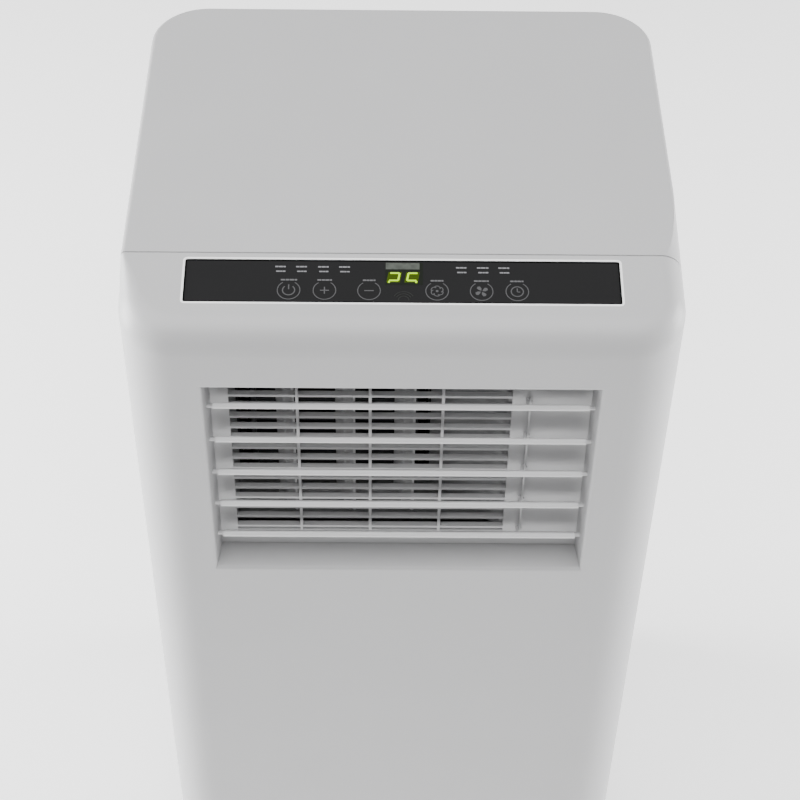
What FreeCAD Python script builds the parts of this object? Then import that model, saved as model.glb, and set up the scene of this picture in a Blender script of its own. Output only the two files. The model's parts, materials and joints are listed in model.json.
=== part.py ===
import FreeCAD, Part
import Sketcher

import math
import os
import re

# Portable air conditioner on casters.
# Millimetres; +X to the unit's right as seen from the front, +Y to the rear, +Z up.
# The origin is on the floor, under the centre of the casing.

Vector = FreeCAD.Vector

DIMENSIONS = [
    # how far a cutting tool or a joining piece reaches past a face
    ("past", 1),
    # casing
    ("case_width", 335), ("case_depth", 310), ("case_top", 690), ("case_bottom", 34),
    ("wall", 2.5), ("front_corner", 33), ("rear_corner", 37), ("seam_back", 60.6),
    ("seam_gap", 0.5), ("slope_angle", 9.3), ("cover_skirt", 14),
    ("rim_radius", 3), ("side_rim_radius", 14), ("front_rim_radius", 20),
    ("flange_gap", 0.2), ("flange_thick", 2), ("flange_wide", 5),
    # control panel, measured down the slope from the seam
    ("panel_half", 128.5), ("panel_start", 4.7), ("panel_end", 36.4), ("panel_recess", 1.3),
    ("overlay_thick", 0.9), ("overlay_gap", 0.3), ("key_radius", 3), ("key_wall", 0.6), ("key_place", 28.3),
    ("key_inner_x", 20), ("key_middle_x", 46.5), ("key_outer_x", 67.5),
    ("display_half", 10), ("display_start", 7), ("display_end", 23.5),
    ("board_half", 118), ("board_depth", 9), ("board_thick", 1.6), ("board_margin", 2),
    # air outlet recess, guard and louvres
    ("outlet_half", 119), ("outlet_low", 467.5), ("outlet_high", 636.4), ("outlet_draft", 2.5),
    ("outlet_draft_low", 2), ("outlet_draft_high", 1), ("outlet_depth", 20), ("recess_wall", 2),
    ("mouth_round", 2.5), ("plate_thick", 2), ("plate_margin", 1.5),
    ("window_left", -105.5), ("window_right", 68), ("window_low", 483), ("window_high", 622),
    ("bar_thick", 1.9), ("bar_deep", 3.8), ("bar_low", 486.3), ("bar_pitch", 9.5), ("bar_count", 15),
    ("rib_first", -63.7), ("rib_pitch", 44.8), ("rib_count", 3), ("lip_wall", 1.5),
    ("blade_count", 5), ("blade_top", 610.4), ("blade_pitch", 30.1), ("blade_back", 11),
    ("blade_half", 113.4), ("blade_front", 11), ("blade_rear", 5), ("blade_thick", 3.8), ("blade_round", 1.5),
    ("blade_tilt", 47), ("blade_pin", 1.3), ("blade_pin_reach", 6), ("fit", 0.05),
    ("crank_x", 77), ("crank_arm", 6.5), ("crank_drop", 14.5), ("crank_pin", 1), ("crank_thick", 1.6),
    ("crank_half", 1.4), ("crank_gap", 0.3), ("crank_reach", 0.9), ("notch_half", 3.4),
    ("link_thick", 1.2), ("link_half", 1.4), ("link_end", 2.6),
    ("stepper_radius", 12), ("stepper_long", 15), ("stepper_offset", 8), ("stepper_gap", 2.2),
    ("stepper_play", 0.1),
    # outlet duct and its upright vanes
    ("duct_low", 479), ("duct_front", -133), ("duct_rear", -86), ("duct_left", -106.5), ("duct_right", 20),
    ("duct_wall", 2), ("slot_front", -129.5), ("slot_rear", -121),
    ("vane_count", 3), ("vane_first", -73), ("vane_pitch", 38), ("vane_y", -108), ("vane_yaw", 27),
    ("vane_half", 13), ("vane_thick", 1.6), ("vane_low", 484.5), ("vane_gap", 1.5), ("vane_pin", 1.5),
    ("vane_crank", 10.5), ("vane_link_low", 481), ("vane_link_thick", 2.2), ("vane_link_half", 2.5),
    ("vane_crank_reach", 0.8),
    # upper blower
    ("blower_y", -5), ("blower_z", 505), ("scroll_first", 84), ("scroll_growth", 11), ("scroll_wall", 2),
    ("inlet_radius", 62), ("fan_radius", 74), ("fan_eye", 60), ("fan_left", -98), ("fan_right", 12),
    ("fan_disc", 2), ("fan_overlap", 5), ("fan_rim", 3), ("fan_blades", 32), ("fan_blade_thick", 1.2),
    ("fan_blade_turn", 30), ("hub_radius", 11), ("hub_long", 16), ("shaft_radius", 4),
    ("motor_radius", 40), ("motor_left", 30), ("motor_right", 90), ("motor_lug", 70), ("lug_half", 5),
    ("lug_grip", 4), ("lug_sink", 2),
    # heat exchangers
    ("coil_half", 125), ("coil_front", 107), ("coil_back", 133), ("fin_pitch", 7), ("fin_thick", 0.3),
    ("tube_radius", 4), ("tube_pitch", 20), ("tube_ease", 0.5), ("evaporator_low", 418),
    ("evaporator_tubes", 12), ("condenser_low", 84), ("condenser_tubes", 8),
    ("coil_margin", 12), ("coil_over", 8),
    # deck between the cold and hot sides
    ("deck_low", 394), ("deck_floor", 3), ("deck_rim", 12), ("deck_inset", 3), ("deck_wall", 2),
    ("deck_notch_side", 5), ("deck_notch_front", 8), ("deck_drain_radius", 5), ("deck_drain_side", 20),
    ("deck_drain_front", 12),
    # hot side blower and exhaust
    ("hot_x", 50), ("hot_z", 200), ("hot_first", 78), ("hot_growth", 9), ("hot_tongue", -26),
    ("hot_front", -30), ("hot_back", 50), ("hot_fan_radius", 68), ("hot_fan_eye", 55),
    ("hot_fan_front", -22), ("hot_fan_back", 40), ("hot_fan_disc", 9), ("hot_inlet", 54), ("hot_mouth", 76),
    ("hot_motor_radius", 36), ("hot_motor_front", -108), ("hot_motor_back", -48), ("hot_shaft_gap", 3),
    ("hot_stand_inset", 4), ("hot_stand_wall", 3),
    ("duct_top", 388), ("exhaust_x", 62), ("exhaust_z", 322), ("exhaust_radius", 62),
    ("exhaust_wall", 2.2), ("exhaust_flange", 69), ("exhaust_front", 135), ("exhaust_floor", 254),
    ("exhaust_left", -8), ("exhaust_right", 158), ("riser_back", 58), ("plenum_front", 56),
    # compressor set
    ("compressor_x", -98), ("compressor_y", -75), ("compressor_radius", 52), ("compressor_low", 64),
    ("compressor_high", 290), ("dome", 26), ("accumulator_x", -28), ("accumulator_y", -102),
    ("accumulator_radius", 20), ("accumulator_low", 100), ("accumulator_high", 240), ("accumulator_dome", 14),
    ("accumulator_neck", 12),
    ("pipe_radius", 4), ("pipe_bend", 10), ("capillary_radius", 1.5), ("capillary_bend", 5),
    ("riser_x", -157), ("suction_turn", -60), ("discharge_turn", 20), ("capillary_x", -149),
    ("capillary_y", 92), ("suction_high", 365), ("discharge_high", 335),
    # base pan
    ("pan_low", 37), ("pan_floor", 4), ("pan_high", 62), ("pan_wall", 2.5), ("pan_gap", 0.4),
    ("pan_corner", 36), ("boss_radius", 11), ("platform_radius", 44), ("coil_ledge_inset", 3),
    ("drain_x", -95), ("drain_z", 52), ("drain_outer", 8.5), ("drain_bore", 6), ("drain_inner", 138),
    ("drain_tip", 151), ("drain_half", 20), ("drain_head_room", 5), ("plug_head", 8), ("plug_long", 12),
    ("splash_x", -95), ("splash_z", 93), ("splash_motor_radius", 17), ("splash_motor_front", 38),
    ("splash_motor_back", 66), ("splash_radius", 32), ("splash_front", 72), ("splash_back", 82),
    ("splash_shaft", 1.5), ("splash_hub", 9), ("splash_rim", 6), ("splash_disc", 2), ("splash_paddles", 8),
    ("paddle_half", 1.5), ("bracket_half", 12), ("bracket_inset", 3),
    ("float_x", 120), ("float_y", 80), ("float_radius", 14), ("float_low", 44), ("float_high", 58),
    ("float_post", 3), ("float_stop", 7), ("float_post_high", 80),
    # casters
    ("caster_x", 128), ("caster_y", 112), ("wheel_radius", 18), ("wheel_wide", 8), ("wheel_round", 1.6),
    ("caster_trail", 11), ("fork_half", 6.2), ("fork_shoulder", 4), ("fork_crown", 27), ("fork_foot", 9),
    ("fork_reach", 11), ("fork_wall", 2), ("axle_radius", 3), ("stem_low", 30), ("stem_high", 57),
    ("wheel_gap", 0.5),
    # back panels
    ("intake_half", 115), ("intake_gap", 0.4), ("upper_low", 440), ("upper_high", 650),
    ("lower_low", 80), ("lower_high", 248), ("grille_border", 9), ("grille_bar", 3), ("grille_pitch", 8),
    ("grille_ribs", 3), ("grille_rib_half", 1.5), ("grille_rib_set", 0.5), ("clip_inset", 3), ("clip_wall", 2),
    ("filter_front", 141), ("filter_thick", 4), ("filter_inset", 3), ("filter_border", 6),
    ("filter_rib", 2.4), ("filter_rib_deep", 2), ("filter_cells", 4),
    # small parts of the casing
    ("cup_front", -10), ("cup_back", 90), ("cup_low", 580), ("cup_high", 626), ("cup_deep", 24),
    ("cup_wall", 2.2), ("cup_gap", 0.2),
    ("gland_x", -100), ("gland_z", 300), ("gland_radius", 8), ("gland_flange", 11), ("gland_bore", 3.6),
    ("gland_thick", 3), ("gland_gap", 0.1),
    ("screw_x", 123), ("screw_head", 3.6), ("screw_head_high", 1.4), ("screw_shank", 1.4), ("screw_long", 11),
    ("screw_room", 0.15), ("screw_below_lower", 6), ("screw_above_lower", 8), ("screw_below_upper", 14),
    ("screw_above_upper", 12),
    # electrics
    ("box_left", 106), ("box_right", 160), ("box_front", -60), ("box_back", 78), ("box_low", 412),
    ("box_high", 552), ("box_wall", 2), ("board_inset", 5), ("relay_tall", 23), ("relay_front", 20),
    ("relay_back", 42), ("relay_low", 20), ("relay_high", 40), ("capacitor_radius", 14),
    ("capacitor_tall", 37), ("capacitor_back", 34), ("capacitor_down", 40),
]

ALIASES = {alias for alias, _ in DIMENSIONS}
SCREW_HEIGHTS = ("lower_low - screw_below_lower", "lower_high - screw_above_lower",
                 "upper_low - screw_below_upper", "upper_high + screw_above_upper")
OUTSIDE = 20   # how far a cutting tool stands outside the casing
CORNERS = ((-1, -1), (1, -1), (-1, 1), (1, 1))

doc = FreeCAD.newDocument("portable_air_conditioner")
sheet = doc.addObject("Spreadsheet::Sheet", "dims")
for row, (alias, number) in enumerate(DIMENSIONS, start=1):
    sheet.set(f"A{row}", str(number))
    sheet.setAlias(f"A{row}", alias)
doc.recompute()

pieces = []


def size(alias):
    """The number the sheet holds under this alias."""
    return float(sheet.get(alias))


def bind(obj, prop, text):
    """Bind a property to an expression written with the sheet's aliases."""
    words = re.sub(r"[a-z_]+", lambda found: ("dims." if found.group() in ALIASES else "") + found.group(),
                   str(text))
    obj.setExpression(prop, words)


def piece(obj, node):
    """Name a finished sub-part."""
    obj.Label = node
    pieces.append(obj)
    return obj


# ---------------------------------------------------------------- primitives and booleans

def place(obj, x, y, z):
    bind(obj, "Placement.Base.x", x)
    bind(obj, "Placement.Base.y", y)
    bind(obj, "Placement.Base.z", z)


def box(name, x, y, z):
    """A box between the two ends given for each axis."""
    solid = doc.addObject("Part::Box", name)
    for prop, (low, high) in zip(("Length", "Width", "Height"), (x, y, z)):
        bind(solid, prop, f"({high}) - ({low})")
    place(solid, x[0], y[0], z[0])
    return solid


TURNS = {
    "X": FreeCAD.Rotation(Vector(0, 1, 0), 90),
    "Y": FreeCAD.Rotation(Vector(1, 0, 0), -90),
    "Z": FreeCAD.Rotation(),
}


def rod(name, axis, at, span, radius):
    """A cylinder along an axis; at holds the other two coordinates, in X, Y, Z order."""
    solid = doc.addObject("Part::Cylinder", name)
    solid.Placement = FreeCAD.Placement(Vector(), TURNS[axis])
    bind(solid, "Radius", radius)
    bind(solid, "Height", f"({span[1]}) - ({span[0]})")
    start = list(at)
    start.insert("XYZ".index(axis), span[0])
    place(solid, *start)
    return solid


def beyond(span):
    """A span carried a little past both its ends, so that a cut is clean."""
    return (f"({span[0]}) - past", f"({span[1]}) + past")


def about(middle, half):
    """A span of this half width about a middle."""
    return (f"{middle} - {half}", f"{middle} + {half}")


def tube(name, axis, at, span, outer, inner):
    """A rod with a bore right through it."""
    body = rod(name + "_body", axis, at, span, outer)
    return cut(name, body, rod(name + "_bore", axis, at, beyond(span), inner))


def shifted(alias, step, pitch):
    """The place of one of a row of equal things."""
    return f"{alias} + {step}*{pitch}"


def wedge(name, x, y, z, x_back, z_back):
    """A box whose back end (at the larger y) has another width and height."""
    solid = doc.addObject("Part::Wedge", name)
    ends = {"Xmin": x[0], "Xmax": x[1], "Ymin": y[0], "Ymax": y[1], "Zmin": z[0], "Zmax": z[1],
            "X2min": x_back[0], "X2max": x_back[1], "Z2min": z_back[0], "Z2max": z_back[1]}
    for prop, text in ends.items():
        bind(solid, prop, text)
    return solid


def slope_box(name, x, down, depth):
    """A box square to the sloping front of the top; down runs from the seam, depth is out of the slope."""
    solid = doc.addObject("Part::Box", name)
    solid.Placement = FreeCAD.Placement(Vector(), FreeCAD.Rotation(Vector(1, 0, 0), size("slope_angle")))
    bind(solid, "Length", f"({x[1]}) - ({x[0]})")
    bind(solid, "Width", f"({down[1]}) - ({down[0]})")
    bind(solid, "Height", f"({depth[1]}) - ({depth[0]})")
    place(solid, x[0],
          f"seam_back - case_depth/2 - ({down[1]})*cos(slope_angle) - ({depth[0]})*sin(slope_angle)",
          f"case_top - ({down[1]})*sin(slope_angle) + ({depth[0]})*cos(slope_angle)")
    return solid


def group(name, solids):
    """Separate solids kept together."""
    compound = doc.addObject("Part::Compound", name)
    compound.Links = solids
    return compound


def fuse(name, *solids):
    joined = doc.addObject("Part::MultiFuse", name)
    joined.Shapes = solids
    joined.Refine = True
    return joined


def cut(name, base, *tools):
    """The base with every tool taken out of it."""
    result = doc.addObject("Part::Cut", name)
    result.Base = base
    result.Tool = tools[0] if len(tools) == 1 else fuse(name + "_tools", *tools)
    return result


def common(name, first, second):
    result = doc.addObject("Part::Common", name)
    result.Base = first
    result.Tool = second
    return result


def rounded(name, base, edges):
    """Edges given as (index, radius at one end, radius at the other)."""
    fillet = doc.addObject("Part::Fillet", name)
    fillet.Base = base
    fillet.Edges = edges
    return fillet


def edges_where(obj, test):
    """The indexes of the edges that pass the test."""
    doc.recompute()
    return [i for i, e in enumerate(obj.Shape.Edges, start=1) if test(e)]


def runs_along(axis):
    """A test for straight edges along one axis."""
    return lambda edge: abs(edge.tangentAt(edge.FirstParameter).dot(axis)) > 0.9


def eased(name, base, test, radius):
    """The base with one radius on every edge that passes the test."""
    return rounded(name, base, [(i, radius, radius) for i in edges_where(base, test)])


def leaned(name, radius, height, x, down, depth):
    """A cylinder square to the sloping front, standing up from a depth below it."""
    solid = doc.addObject("Part::Cylinder", name)
    solid.Placement = FreeCAD.Placement(Vector(), FreeCAD.Rotation(Vector(1, 0, 0), size("slope_angle")))
    bind(solid, "Radius", radius)
    bind(solid, "Height", height)
    place(solid, x, f"seam_back - case_depth/2 - {down}*cos(slope_angle) + {depth}*sin(slope_angle)",
          f"case_top - {down}*sin(slope_angle) - {depth}*cos(slope_angle)")
    return solid


def shaped(name, shape):
    """A feature holding a shape worked out from the sheet in this script."""
    feature = doc.addObject("Part::Feature", name)
    feature.Shape = shape
    return feature


# ---------------------------------------------------------------- sketched bodies

def sketch_outline(body, name, role, corners):
    """A closed outline of straight lines, each corner bound to the sheet."""
    sketch = body.newObject("Sketcher::SketchObject", name)
    plane = [f for f in body.Origin.OriginFeatures if f.Role == role][0]
    sketch.AttachmentSupport = [(plane, "")]
    sketch.MapMode = "FlatFace"
    count = len(corners)
    rough = [Vector(math.cos(2*math.pi*i/count), math.sin(2*math.pi*i/count), 0) for i in range(count)]
    for i in range(count):
        sketch.addGeometry(Part.LineSegment(rough[i], rough[(i + 1) % count]))
    hold_corners(sketch, corners)
    return sketch


def hold_corners(sketch, corners):
    """Join the lines end to end and hold each corner by its two distances from the origin."""
    count = len(corners)
    for i in range(count):
        sketch.addConstraint(Sketcher.Constraint("Coincident", i, 2, (i + 1) % count, 1))
    for i, corner in enumerate(corners):
        for kind, text in zip(("DistanceX", "DistanceY"), corner):
            index = sketch.addConstraint(Sketcher.Constraint(kind, -1, 1, i, 1, 1.0))
            bind(sketch, f"Constraints[{index}]", text)


def new_body(name):
    return doc.addObject("PartDesign::Body", name)


def padded(body, name, role, corners, length, both_ways=False):
    """Pad an outline off one of the body's planes."""
    pad = body.newObject("PartDesign::Pad", name)
    pad.Profile = sketch_outline(body, name + "_outline", role, corners)
    bind(pad, "Length", length)
    if both_ways:
        pad.SideType = "Symmetric"
    return pad


def ringed(body, feature, count):
    """Repeat a feature round the body's Z axis."""
    pattern = body.newObject("PartDesign::PolarPattern", body.Name + "_pattern")
    pattern.Originals = [feature]
    z_axis = [f for f in body.Origin.OriginFeatures if f.Role == "Z_Axis"][0]
    pattern.Axis = (z_axis, [""])
    pattern.Angle = 360
    bind(pattern, "Occurrences", count)
    body.Tip = pattern
    return body


def turned(name, corners, axis, at):
    """A solid of revolution: corners are (radius, place along the axis)."""
    body = new_body(name)
    spin = body.newObject("PartDesign::Revolution", name + "_turn")
    spin.Profile = sketch_outline(body, name + "_outline", "XZ_Plane", corners)
    spin.ReferenceAxis = (spin.Profile[0], ["V_Axis"])
    spin.Angle = 360
    body.Placement = FreeCAD.Placement(Vector(), TURNS[axis])
    start = list(at)
    start.insert("XYZ".index(axis), "0")
    place(body, *start)
    return body


# ---------------------------------------------------------------- casing

def casing_form(name, inset, floor):
    """The rounded block of the casing, or with an inset the space inside its walls."""
    half_width, half_depth = f"(case_width/2 - {inset})", f"(case_depth/2 - {inset})"
    thick = size(inset) if inset != "0" else 0
    block = box(name + "_block", (f"-{half_width}", half_width), (f"-{half_depth}", half_depth),
                (floor, f"case_top - {inset}"))
    upright = edges_where(block, runs_along(Vector(0, 0, 1)))
    corners = []
    for i in upright:
        radius = size("front_corner" if block.Shape.Edges[i - 1].CenterOfMass.y < 0 else "rear_corner") - thick
        corners.append((i, radius, radius))
    block = rounded(name + "_corners", block, corners)
    block = cut(name + "_slope", block, slope_box(
        name + "_slope_tool", (f"-case_width/2 - {OUTSIDE}", f"case_width/2 + {OUTSIDE}"),
        (f"-{OUTSIDE/4}", "seam_back + front_corner"), (f"-({inset})", "front_corner")))
    doc.recompute()
    return rounded(name, block, rim_edges(block.Shape, thick))


def rim_edges(shape, thick):
    """Top edges: sharp behind the seam, growing softer down the slope to a generous round in front."""
    near = size("past")
    seam = size("seam_back") - size("case_depth")/2
    corner = size("front_corner") - size("case_depth")/2
    rim, side, front = (max(size(alias) - thick, near)
                        for alias in ("rim_radius", "side_rim_radius", "front_rim_radius"))

    def radius_at(y):
        if y > seam - near:
            return rim
        if y > corner - near:
            return rim + (side - rim)*min(1, (seam - y)/(seam - corner))
        return front

    wanted = []
    lowest = size("case_top") - thick - size("seam_back")
    for i, edge in enumerate(shape.Edges, start=1):
        ends = [edge.valueAt(edge.FirstParameter), edge.valueAt(edge.LastParameter)]
        crosses = all(abs(p.y - seam) < 2*near for p in ends)
        if min(p.z for p in ends) > lowest and not crosses:
            wanted.append((i, radius_at(ends[0].y), radius_at(ends[1].y)))
    return wanted


def casing_shells():
    """Front casing, rear casing and top cover: three shells cut from one hollow form."""
    outer = casing_form("casing_outer", "0", "case_bottom")
    inner = casing_form("casing_inner", "wall", f"case_bottom - {OUTSIDE}")
    shell = cut("casing_shell", outer, inner)
    wide = (f"-case_width/2 - {OUTSIDE}", f"case_width/2 + {OUTSIDE}")
    tall = ("case_bottom - 1", f"case_top + {OUTSIDE}")
    seam = "(seam_back - case_depth/2)"
    skirt = "(case_top - cover_skirt)"
    front_region = box("front_region", wide, (f"-case_depth/2 - {OUTSIDE}", seam), tall)
    front = common("front_shell", shell, front_region)
    behind = (f"{seam} + seam_gap", f"case_depth/2 + {OUTSIDE}")
    rear = common("rear_shell", shell, box("rear_region", wide, behind, (tall[0], skirt)))
    top = common("top_cover", shell, box("top_region", wide, behind, (f"{skirt} + seam_gap", tall[1])))
    piece(top, "top_cover")
    front_casing(front)
    rear_casing(rear)


def front_casing(shell):
    """The front shell with the outlet recess moulded in and a shallow bed for the control overlay."""
    mouth_x, mouth_z = ("-outlet_half", "outlet_half"), ("outlet_low", "outlet_high")
    front_y, back_y = "-case_depth/2", "(outlet_depth - case_depth/2)"
    narrow_x = ("outlet_draft - outlet_half", "outlet_half - outlet_draft")
    narrow_z = ("outlet_low + outlet_draft_low", "outlet_high - outlet_draft_high")
    hollow = wedge("recess_hollow", mouth_x, (front_y, back_y), mouth_z, narrow_x, narrow_z)
    walls = wedge("recess_walls", grown(mouth_x), (f"{front_y} + flange_gap", back_y), grown(mouth_z),
                  grown(narrow_x), grown(narrow_z))
    mouth = box("recess_mouth", mouth_x, (f"{front_y} - {OUTSIDE}", front_y), mouth_z)
    bed = slope_box("panel_bed", ("-panel_half - overlay_gap", "panel_half + overlay_gap"),
                    ("panel_start - overlay_gap", "panel_end + overlay_gap"),
                    ("-panel_recess", "front_corner"))
    display = slope_box("display_window", ("-display_half - overlay_gap", "display_half + overlay_gap"),
                        ("display_start - overlay_gap", "display_end + overlay_gap"), ("-2*wall", "0"))
    pin_span = beyond(("-blade_half - blade_pin_reach", "blade_half + blade_pin_reach"))
    bores = [rod(f"louvre_pin_cut_{i + 1}", "X", ("blade_back - case_depth/2", blade_height(i)), pin_span,
                 "blade_pin + fit") for i in range(int(size("blade_count")))]
    body = cut("front_cut", fuse("front_with_recess", shell, walls), hollow, mouth, bed, display, *bores)
    piece(eased("front_casing", body, is_mouth_edge, size("mouth_round")), "front_casing")


def blade_height(step):
    """Height of a louvre's pins, counted from the top one."""
    return f"blade_top - {step}*blade_pitch"


def grown(span):
    """A span widened by the recess wall at both ends."""
    return (f"{span[0]} - recess_wall", f"{span[1]} + recess_wall")


def is_mouth_edge(edge):
    """The four edges where the outlet recess meets the front face."""
    centre, near = edge.CenterOfMass, size("past")
    on_face = abs(centre.y + size("case_depth")/2) < size("fit")
    return (on_face and abs(centre.x) < size("outlet_half") + near
            and size("outlet_low") - near < centre.z < size("outlet_high") + near)


def rear_casing(shell):
    """The rear shell with its two intake windows, exhaust hole, hand holes, gland hole and drain notch."""
    through = about("case_depth/2", OUTSIDE)
    cuts = []
    for name in ("upper", "lower"):
        cuts.append(box(name + "_window", ("-intake_half - intake_gap", "intake_half + intake_gap"), through,
                        (f"{name}_low - intake_gap", f"{name}_high + intake_gap")))
    cuts.append(rod("exhaust_hole", "Y", ("exhaust_x", "exhaust_z"), through,
                    "exhaust_radius + exhaust_wall + cup_gap"))
    cuts.append(rod("gland_hole", "Y", ("gland_x", "gland_z"), through, "gland_radius + gland_gap"))
    cuts.append(box("drain_notch", about("drain_x", "drain_half"), through,
                    (f"case_bottom - {OUTSIDE}", "drain_z + drain_outer + drain_head_room")))
    for side, name in ((-1, "left"), (1, "right")):
        cuts.append(box(f"hand_hole_{name}", side_span(side, *about("case_width/2", OUTSIDE)),
                        ("cup_front - cup_gap", "cup_back + cup_gap"),
                        ("cup_low - cup_gap", "cup_high + cup_gap")))
        seat = ("case_depth/2 - screw_head_high - gland_gap", through[1])
        for i, height in enumerate(SCREW_HEIGHTS):
            at = (f"{side}*screw_x", height)
            cuts.append(rod(f"screw_hole_{name}_{i}", "Y", at, through, "screw_shank + fit"))
            cuts.append(rod(f"screw_seat_{name}_{i}", "Y", at, seat, "screw_head + screw_room"))
    piece(cut("rear_casing", shell, *cuts), "rear_casing")


def side_span(side, near, far):
    """An X span on the left (-1) or right (1) side, from nearer the middle to further out."""
    return (near, far) if side > 0 else (f"-({far})", f"-({near})")


def casing_screws():
    screws = []
    for side in (-1, 1):
        for i, height in enumerate(SCREW_HEIGHTS):
            name = f"screw_{'left' if side < 0 else 'right'}_{i}"
            at = (f"{side}*screw_x", height)
            seat = "case_depth/2 - screw_head_high"
            head = rod(name + "_head", "Y", at, (seat, "case_depth/2"), "screw_head")
            shank = rod(name + "_shank", "Y", at, ("case_depth/2 - screw_long", seat), "screw_shank")
            screws.append(fuse(name, head, shank))
    piece(group("casing_screws", screws), "casing_screws")


def handle_cups():
    """Recessed hand holds let into the sides."""
    y, z = ("cup_front", "cup_back"), ("cup_low", "cup_high")
    inside = "case_width/2 - wall - flange_gap"
    for side, name in ((-1, "left"), (1, "right")):
        shell = box(f"cup_{name}_outside", side_span(side, "case_width/2 - cup_deep", "case_width/2"), y, z)
        flange = box(f"cup_{name}_flange", side_span(side, f"{inside} - flange_thick", inside),
                     ("cup_front - flange_wide", "cup_back + flange_wide"),
                     ("cup_low - flange_wide", "cup_high + flange_wide"))
        hollow = box(f"cup_{name}_hollow",
                     side_span(side, "case_width/2 - cup_deep + cup_wall", f"case_width/2 + {OUTSIDE}"),
                     ("cup_front + cup_wall", "cup_back - cup_wall"),
                     ("cup_low + cup_wall", "cup_high - cup_wall"))
        piece(cut(f"handle_cup_{name}", fuse(f"cup_{name}_solid", shell, flange), hollow), f"handle_cup_{name}")


# ---------------------------------------------------------------- control panel

def control_panel():
    """Overlay, circuit board with its display, and the springs that carry each key's touch."""
    overlay = slope_box("control_overlay", ("-panel_half", "panel_half"), ("panel_start", "panel_end"),
                        ("-panel_recess", "overlay_thick - panel_recess"))
    piece(overlay, "control_overlay")
    display = slope_box("display_block", ("-display_half", "display_half"), ("display_start", "display_end"),
                        ("-board_depth", "-panel_recess"))
    board = slope_box("display_sheet", ("-board_half", "board_half"),
                      ("display_start - board_margin", "panel_end - board_margin"),
                      ("-board_depth - board_thick", "-board_depth"))
    piece(fuse("display_board", board, display), "display_board")
    springs = []
    for x in ("key_inner_x", "key_middle_x", "key_outer_x"):
        for sign, side in (("-", "left"), ("", "right")):
            name = f"touch_spring_{x}_{side}"
            spring, core = (leaned(name + end, radius, "board_depth - wall",
                                   sign + x, "key_place", "board_depth")
                            for end, radius in (("_coil", "key_radius"), ("_core", "key_radius - key_wall")))
            springs.append(cut(name, spring, core))
    piece(group("touch_springs", springs), "touch_springs")


# ---------------------------------------------------------------- air outlet

def outlet_grille():
    """The plate that closes the recess, with a finger guard of fine bars across the duct."""
    face = "outlet_depth - case_depth/2"
    back = (face, f"{face} + plate_thick")
    deep = (face, f"{face} + bar_deep")
    x, z = ("window_left", "window_right"), ("window_low", "window_high")
    plate = box("guard_plate", ("-outlet_half - plate_margin", "outlet_half + plate_margin"), back,
                ("outlet_low - plate_margin", "outlet_high + plate_margin"))
    window = box("guard_window", x, beyond(back), z)
    bars = [box(f"guard_bar_{i + 1}", beyond(x), deep,
                about(shifted("bar_low", i, "bar_pitch"), "bar_thick/2"))
            for i in range(int(size("bar_count")))]
    for i in range(int(size("rib_count"))):
        x_span = about(shifted("rib_first", i, "rib_pitch"), "bar_thick/2")
        bars.append(box(f"guard_rib_{i + 1}", x_span, back, beyond(z)))
    rim = box("guard_lip_outside", ("window_left - lip_wall", "window_right + lip_wall"), deep,
              ("window_low - lip_wall", "window_high + lip_wall"))
    lip = cut("guard_lip", rim, box("guard_lip_inside", x, beyond(deep), z))
    piece(fuse("outlet_grille", cut("guard_frame", plate, window), lip, *bars), "outlet_grille")


def louvre_blade(number):
    """One louvre: a thin blade on two end pins, with a crank tab and pin for the link."""
    name = f"louvre_blade_{number}"
    blade = box(name + "_plank", ("-blade_half", "blade_half"), ("-blade_front", "blade_rear"),
                ("-blade_thick/2", "blade_thick/2"))
    blade = eased(name + "_round", blade, runs_along(Vector(1, 0, 0)), size("blade_round"))
    notch = box(name + "_notch", about("crank_x + past", "notch_half"), ("blade_thick/2", "blade_rear + past"),
                ("-blade_thick", "blade_thick"))
    pins = rod(name + "_pins", "X", ("0", "0"),
               ("-blade_half - blade_pin_reach", "blade_half + blade_pin_reach"), "blade_pin")
    crank = rod(name + "_crank", "X", ("crank_arm*cos(blade_tilt - crank_drop)",
                                       "crank_arm*sin(blade_tilt - crank_drop)"),
                ("crank_x", "crank_x + crank_thick/2 + crank_gap + link_thick + crank_reach"), "crank_pin")
    solid = fuse(name, cut(name + "_notched", blade, notch), pins, crank_tab(name + "_arm"), crank)
    solid.Placement = FreeCAD.Placement(Vector(), FreeCAD.Rotation(Vector(1, 0, 0), -size("blade_tilt")))
    place(solid, "0", "blade_back - case_depth/2", blade_height(number - 1))
    return piece(solid, name)


def crank_tab(name):
    """The tab that stands off the blade so that it points straight back at mid travel."""
    tab = doc.addObject("Part::Box", name)
    swing = FreeCAD.Rotation(Vector(1, 0, 0), size("blade_tilt") - size("crank_drop"))
    tab.Placement = FreeCAD.Placement(Vector(), swing)
    bind(tab, "Length", "crank_thick")
    bind(tab, "Width", "crank_arm + crank_half")
    bind(tab, "Height", "2*crank_half")
    place(tab, "crank_x - crank_thick/2", "crank_half*sin(blade_tilt - crank_drop)",
          "-crank_half*cos(blade_tilt - crank_drop)")
    return tab


def louvre_link():
    """The flat bar that makes the blades tilt together, pierced for each crank pin."""
    near = "crank_x + crank_thick/2 + crank_gap"
    x = (near, f"{near} + link_thick")
    centre_y = "blade_back - case_depth/2 + crank_arm*cos(crank_drop)"
    drop = "crank_arm*sin(crank_drop)"
    count = int(size("blade_count"))
    bar = box("link_bar", x, about(centre_y, "link_half"),
              (f"{blade_height(count - 1)} - {drop} - link_end", f"{blade_height(0)} - {drop} + link_end"))
    holes = []
    for i in range(count):
        clearance = "fit" if i == count // 2 else "2*fit"
        holes.append(rod(f"link_hole_{i + 1}", "X", (centre_y, f"{blade_height(i)} - {drop}"), beyond(x),
                         f"crank_pin + {clearance}"))
    piece(cut("louvre_link", bar, *holes), "louvre_link")


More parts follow.
